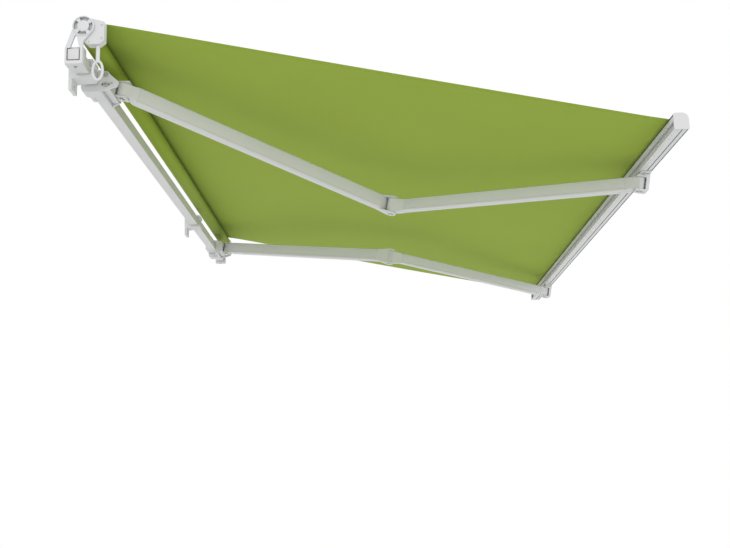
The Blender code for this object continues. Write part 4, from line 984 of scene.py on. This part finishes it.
def profile_loop(half_width, half_height, corner, side_lines=(), face_lines=()):
    """A rounded rectangle, counter-clockwise, with fine sunk lines at shares of its sides and faces."""
    points = []
    sides_round = (
        ((1, 0), (0, 1), half_width, half_height, side_lines, 1),
        ((0, 1), (-1, 0), half_height, half_width, face_lines, 1),
        ((-1, 0), (0, -1), half_width, half_height, side_lines, -1),
        ((0, -1), (1, 0), half_height, half_width, face_lines, -1),
    )
    for outward, onward, distance, half, lines, sign in sides_round:
        outward, onward = Vector(outward), Vector(onward)
        centre = outward * distance
        for place in sorted(share * half * sign for share in lines):
            for step, sunk in LINE_SHAPE:
                points.append(
                    centre + onward * (place + step * LINE_WIDTH / 2) - outward * LINE_DEPTH * sunk
                )
        pivot = centre + onward * (half - corner) - outward * corner
        for i in range(CORNER_STEPS + 1):
            angle = math.pi / 2 / CORNER_STEPS * i
            points.append(pivot + (outward * math.cos(angle) + onward * math.sin(angle)) * corner)
    return points


def arm_profile(node, side_lines, face_lines):
    """An arm's hollow profile between the same two ends as the CAD node, with its drawn lines."""
    bm = merged_copy(node)
    places = [vert.co.copy() for vert in bm.verts]
    bm.free()
    low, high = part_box(node)
    middle = sum(places, Vector()) / len(places)
    rough = (high - low).normalized()
    near_rough = [p for p in places if abs((p - middle).cross(rough).length) < NEAR_AXIS]
    if len(near_rough) < len(places) / 2:
        rough = Vector((-rough.x, rough.y, rough.z)).normalized()
    near_end = [p for p in places if (p - middle).dot(rough) < 0]
    far_end = [p for p in places if (p - middle).dot(rough) > 0]
    a, b = sum(near_end, Vector()) / len(near_end), sum(far_end, Vector()) / len(far_end)
    axis = (b - a).normalized()
    sideways = HINGE_AXIS.cross(axis).normalized()
    upright = axis.cross(sideways)
    start = min((p - a).dot(axis) for p in places)
    end = max((p - a).dot(axis) for p in places)
    half_width = max(abs((p - a).dot(sideways)) for p in places)
    half_height = max(abs((p - a).dot(upright)) for p in places)
    outer = profile_loop(half_width, half_height, PROFILE_CORNER, side_lines, face_lines)
    inner = profile_loop(
        half_width - PROFILE_WALL, half_height - PROFILE_WALL, PROFILE_CORNER - PROFILE_WALL
    )
    bm = bmesh.new()
    rim_edges = {start: [], end: []}
    for loop_points in (outer, inner):
        rings = []
        for distance in (start, end):
            centre = a + axis * distance
            rings.append([bm.verts.new(centre + sideways * p.x + upright * p.y) for p in loop_points])
        following = [(i, (i + 1) % len(loop_points)) for i in range(len(loop_points))]
        for i, j in following:
            bm.faces.new((rings[0][i], rings[0][j], rings[1][j], rings[1][i]))
        for distance, ring in zip((start, end), rings):
            rim_edges[distance] += [bm.edges.get((ring[i], ring[j])) for i, j in following]
    for distance, facing in ((start, -axis), (end, axis)):
        bmesh.ops.triangle_fill(
            bm, use_beauty=True, use_dissolve=False, edges=rim_edges[distance], normal=facing
        )
    bmesh.ops.recalc_face_normals(bm, faces=bm.faces[:])
    piece = plain_piece(node + "_profile", bm, grey_coat, 50.0)
    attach(piece, body_of[node])
    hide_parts(node)


for side in ("left", "right"):
    arm_profile("upper_arm_" + side, SIDE_LINES, UPPER_FACE_LINES)
    arm_profile("forearm_" + side, SIDE_LINES, FOREARM_FACE_LINES)
    for node in ("shoulder_eye_", "elbow_fork_", "elbow_eye_", "wrist_eye_"):
        softened(node + side, cast_coat, CASTING_ROUNDING)
    softened("elbow_pin_" + side, zinc_steel, PIN_ROUNDING)
    dress("arm_spring_" + side, zinc_steel)


# Front bar
# A drawn aluminium profile with a round front. The cloth's hem is held by a rod in the groove at
# its back, over an open channel, and slots run along its underside. A moulded cap closes each end.
FRONT_ROUNDING = 0.0003
BACK_CHANNEL = (0.0035, 0.0265)
BACK_CHANNEL_DEPTH = 0.009
UNDER_SLOTS = ((0.0236, 0.0270), (0.0394, 0.0424))
UNDER_SLOT_DEPTH = 0.009
FIRST_GROOVE = (0.003, 0.009)
FIRST_GROOVE_FLOOR = (0.003, 0.005)
FIRST_GROOVE_DEPTH = 0.0005
front_low, front_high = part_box("front_bar")
# A copy of the coat with deep painted shade, which darkens the bar's channel and slots.
deep_shade_coat = surface(
    "coat_with_deep_painted_shade", COAT_COLOUR, COAT_TONES, COAT_ROUGHNESS, reach=0.030, amount=0.95
)


def cut_along_bar(y_low, y_high, z_low, z_high):
    """A box that runs past both ends of the front bar."""
    return (front_low.x - CUT_PAST, y_low, z_low), (front_high.x + CUT_PAST, y_high, z_high)


def first_groove_shallow(place):
    """A point of the bar, moved so that the groove nearest its back is only a line."""
    behind, above = front_high.y - place.y, place.z - front_low.z
    on_floor = FIRST_GROOVE_FLOOR[0] < above < FIRST_GROOVE_FLOOR[1]
    if on_floor and FIRST_GROOVE[0] < behind < FIRST_GROOVE[1]:
        return Vector((place.x, place.y, front_low.z + FIRST_GROOVE_DEPTH))
    return place


channels = [
    cut_along_bar(
        front_high.y - BACK_CHANNEL_DEPTH,
        front_high.y + CUT_PAST,
        front_low.z + BACK_CHANNEL[0],
        front_low.z + BACK_CHANNEL[1],
    )
]
for near_edge, away_edge in UNDER_SLOTS:
    channels.append(
        cut_along_bar(
            front_high.y - away_edge,
            front_high.y - near_edge,
            front_low.z - CUT_PAST,
            front_low.z + UNDER_SLOT_DEPTH,
        )
    )
softened(
    "front_bar",
    deep_shade_coat,
    FRONT_ROUNDING,
    boxes=channels,
    shift=first_groove_shallow,
)
dress("hem_rod", pale_plastic)
for side in ("left", "right"):
    softened("front_bar_cap_" + side, pale_plastic, CASTING_ROUNDING)
    softened("wrist_bracket_" + side, cast_coat, CASTING_ROUNDING)
    softened("wrist_pin_" + side, zinc_steel, PIN_ROUNDING)


# Screws
# Socket head screws hold the wall fingers, the end sockets, the tilt blocks, the wrist brackets and
# the gear case. They are zinc plated, and all of them grow from one tree.
SMALL_SCREW = (0.0045, 0.004, 0.0025)  # head radius, head height, shank radius
LOCK_BOLT = (0.0075, 0.005, 0.0037)
CASE_SCREW = (0.0032, 0.0022, 0.0015)
CASE_SCREW_LENGTH = 0.012
CASE_SCREW_STAND = 0.0016
CASE_SCREW_INSET = 0.0075
TOP_SCREW_RISE = 0.006
LOW_SCREW_RISE = 0.012
FOOT_SCREW_OFFSET = 0.016
KEY_HOLE_SHARE = 0.52
KEY_HOLE_MIDDLE = 0.95
UP, DOWN = Vector((0.0, 0.0, 1.0)), Vector((0.0, 0.0, -1.0))
socket_tree, socket_in, socket_out = named_tree(
    "GeometryNodeTree",
    "socket_screw",
    [
        ("Geometry", GEOMETRY, None),
        ("Head Radius", FLOAT, SMALL_SCREW[0]),
        ("Head Height", FLOAT, SMALL_SCREW[1]),
        ("Shank Radius", FLOAT, SMALL_SCREW[2]),
        ("Finish", MATERIAL, None),
    ],
    [("Geometry", GEOMETRY)],
)


def cylinder(vertices, radius, depth, rise_share):
    """A cylinder of the screw, with its middle raised by a share of its depth."""
    inputs = {"Vertices": vertices, "Radius": radius, "Depth": depth}
    made = add_node(socket_tree, "GeometryNodeMeshCylinder", inputs, fill_type="NGON")
    lift = add_node(
        socket_tree, "ShaderNodeCombineXYZ", {"Z": math_node(socket_tree, "MULTIPLY", depth, rise_share)}
    )
    raised = add_node(
        socket_tree,
        "GeometryNodeTransform",
        {"Geometry": made.outputs["Mesh"], "Translation": lift.outputs["Vector"]},
    )
    return raised.outputs["Geometry"]


head_radius, head_height = socket_in.outputs["Head Radius"], socket_in.outputs["Head Height"]
hole_radius = math_node(socket_tree, "MULTIPLY", head_radius, KEY_HOLE_SHARE)
drilled = add_node(
    socket_tree,
    "GeometryNodeMeshBoolean",
    {
        "Mesh 1": cylinder(32, head_radius, head_height, 0.5),
        "Mesh 2": cylinder(6, hole_radius, head_height, KEY_HOLE_MIDDLE),
    },
    operation="DIFFERENCE",
)
shank = cylinder(20, socket_in.outputs["Shank Radius"], 1.0, -0.5)
facing = add_node(
    socket_tree, "GeometryNodeInputNamedAttribute", {"Name": "facing"}, data_type="FLOAT_VECTOR"
)
shank_reach = add_node(
    socket_tree, "GeometryNodeInputNamedAttribute", {"Name": "shank_reach"}, data_type="FLOAT_VECTOR"
)
stand_up = add_node(
    socket_tree, "FunctionNodeAlignRotationToVector", {"Vector": facing.outputs["Attribute"]}, axis="Z"
)
both = add_node(socket_tree, "GeometryNodeJoinGeometry")
for made, scaled in (
    (drilled.outputs["Mesh"], {}),
    (shank, {"Scale": shank_reach.outputs["Attribute"]}),
):
    placed = {"Points": socket_in.outputs["Geometry"], "Instance": made, **scaled}
    placed["Rotation"] = stand_up.outputs["Rotation"]
    at = add_node(socket_tree, "GeometryNodeInstanceOnPoints", placed)
    feed(socket_tree, both, {"Geometry": at.outputs["Instances"]})
make_real(socket_tree, socket_out, both.outputs["Geometry"], socket_in.outputs["Finish"])


def socket_screws(name, body, size, screws):
    """Screws of one size on one body, by their heads' tops, the ways they face and their lengths."""
    head_radius, head_height, shank_radius = size
    base = bpy.data.meshes.new(name)
    base.from_pydata([top - facing * head_height for top, facing, _ in screws], [], [])
    facings = [facing for _, facing, _ in screws]
    reaches = [(1.0, 1.0, length - head_height) for _, _, length in screws]
    for attribute, values in (("facing", facings), ("shank_reach", reaches)):
        column = base.attributes.new(attribute, "FLOAT_VECTOR", "POINT")
        for i, value in enumerate(values):
            column.data[i].vector = value
    sizes = {"Head Radius": head_radius, "Head Height": head_height, "Shank Radius": shank_radius}
    piece = grown(name, base, socket_tree, {**sizes, "Finish": zinc_steel})
    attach(piece, body)
    return piece


def cad_screws(name, body, size, screws):
    """Screws that stand in for CAD nodes, given by the node and the way its head faces."""
    seats = []
    for node, facing in screws:
        low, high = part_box(node)
        length = 2 * abs(((high - low) / 2).dot(facing))
        seats.append(((low + high) / 2 + facing * length / 2, facing, length))
    piece = socket_screws(name, body, size, seats)
    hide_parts(*[node for node, _ in screws])


small_screws, lock_bolts, wrist_screws = [], [], []
for side, sign in (("left", -1.0), ("right", 1.0)):
    small_screws += [("clamp_screw_" + side, UP), ("bracket_screw_" + side, DOWN)]
    lock_bolts.append(("lock_bolt_" + side, Vector((sign, 0.0, 0.0))))
    wrist_screws.append(("wrist_screw_" + side, DOWN))
    softened("tilt_bolt_" + side, zinc_steel, PIN_ROUNDING)
cad_screws("small_screws", "root", SMALL_SCREW, small_screws)
cad_screws("lock_bolts", "root", LOCK_BOLT, lock_bolts)
cad_screws("wrist_screws", "front_bar", SMALL_SCREW, wrist_screws)

case_low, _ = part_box("gearbox_housing")
case_screws = []
for y, z in (
    (case_low.y + CASE_SCREW_INSET, roller_z + TOP_SCREW_RISE),
    (case_low.y + CASE_SCREW_INSET, case_low.z + CASE_SCREW_INSET + LOW_SCREW_RISE),
    (roller_y - FOOT_SCREW_OFFSET, case_low.z + CASE_SCREW_INSET),
):
    top = Vector((case_low.x - CASE_SCREW_STAND, y, z))
    case_screws.append((top, Vector((-1.0, 0.0, 0.0)), CASE_SCREW_LENGTH))
socket_screws("case_screws", "root", CASE_SCREW, case_screws)
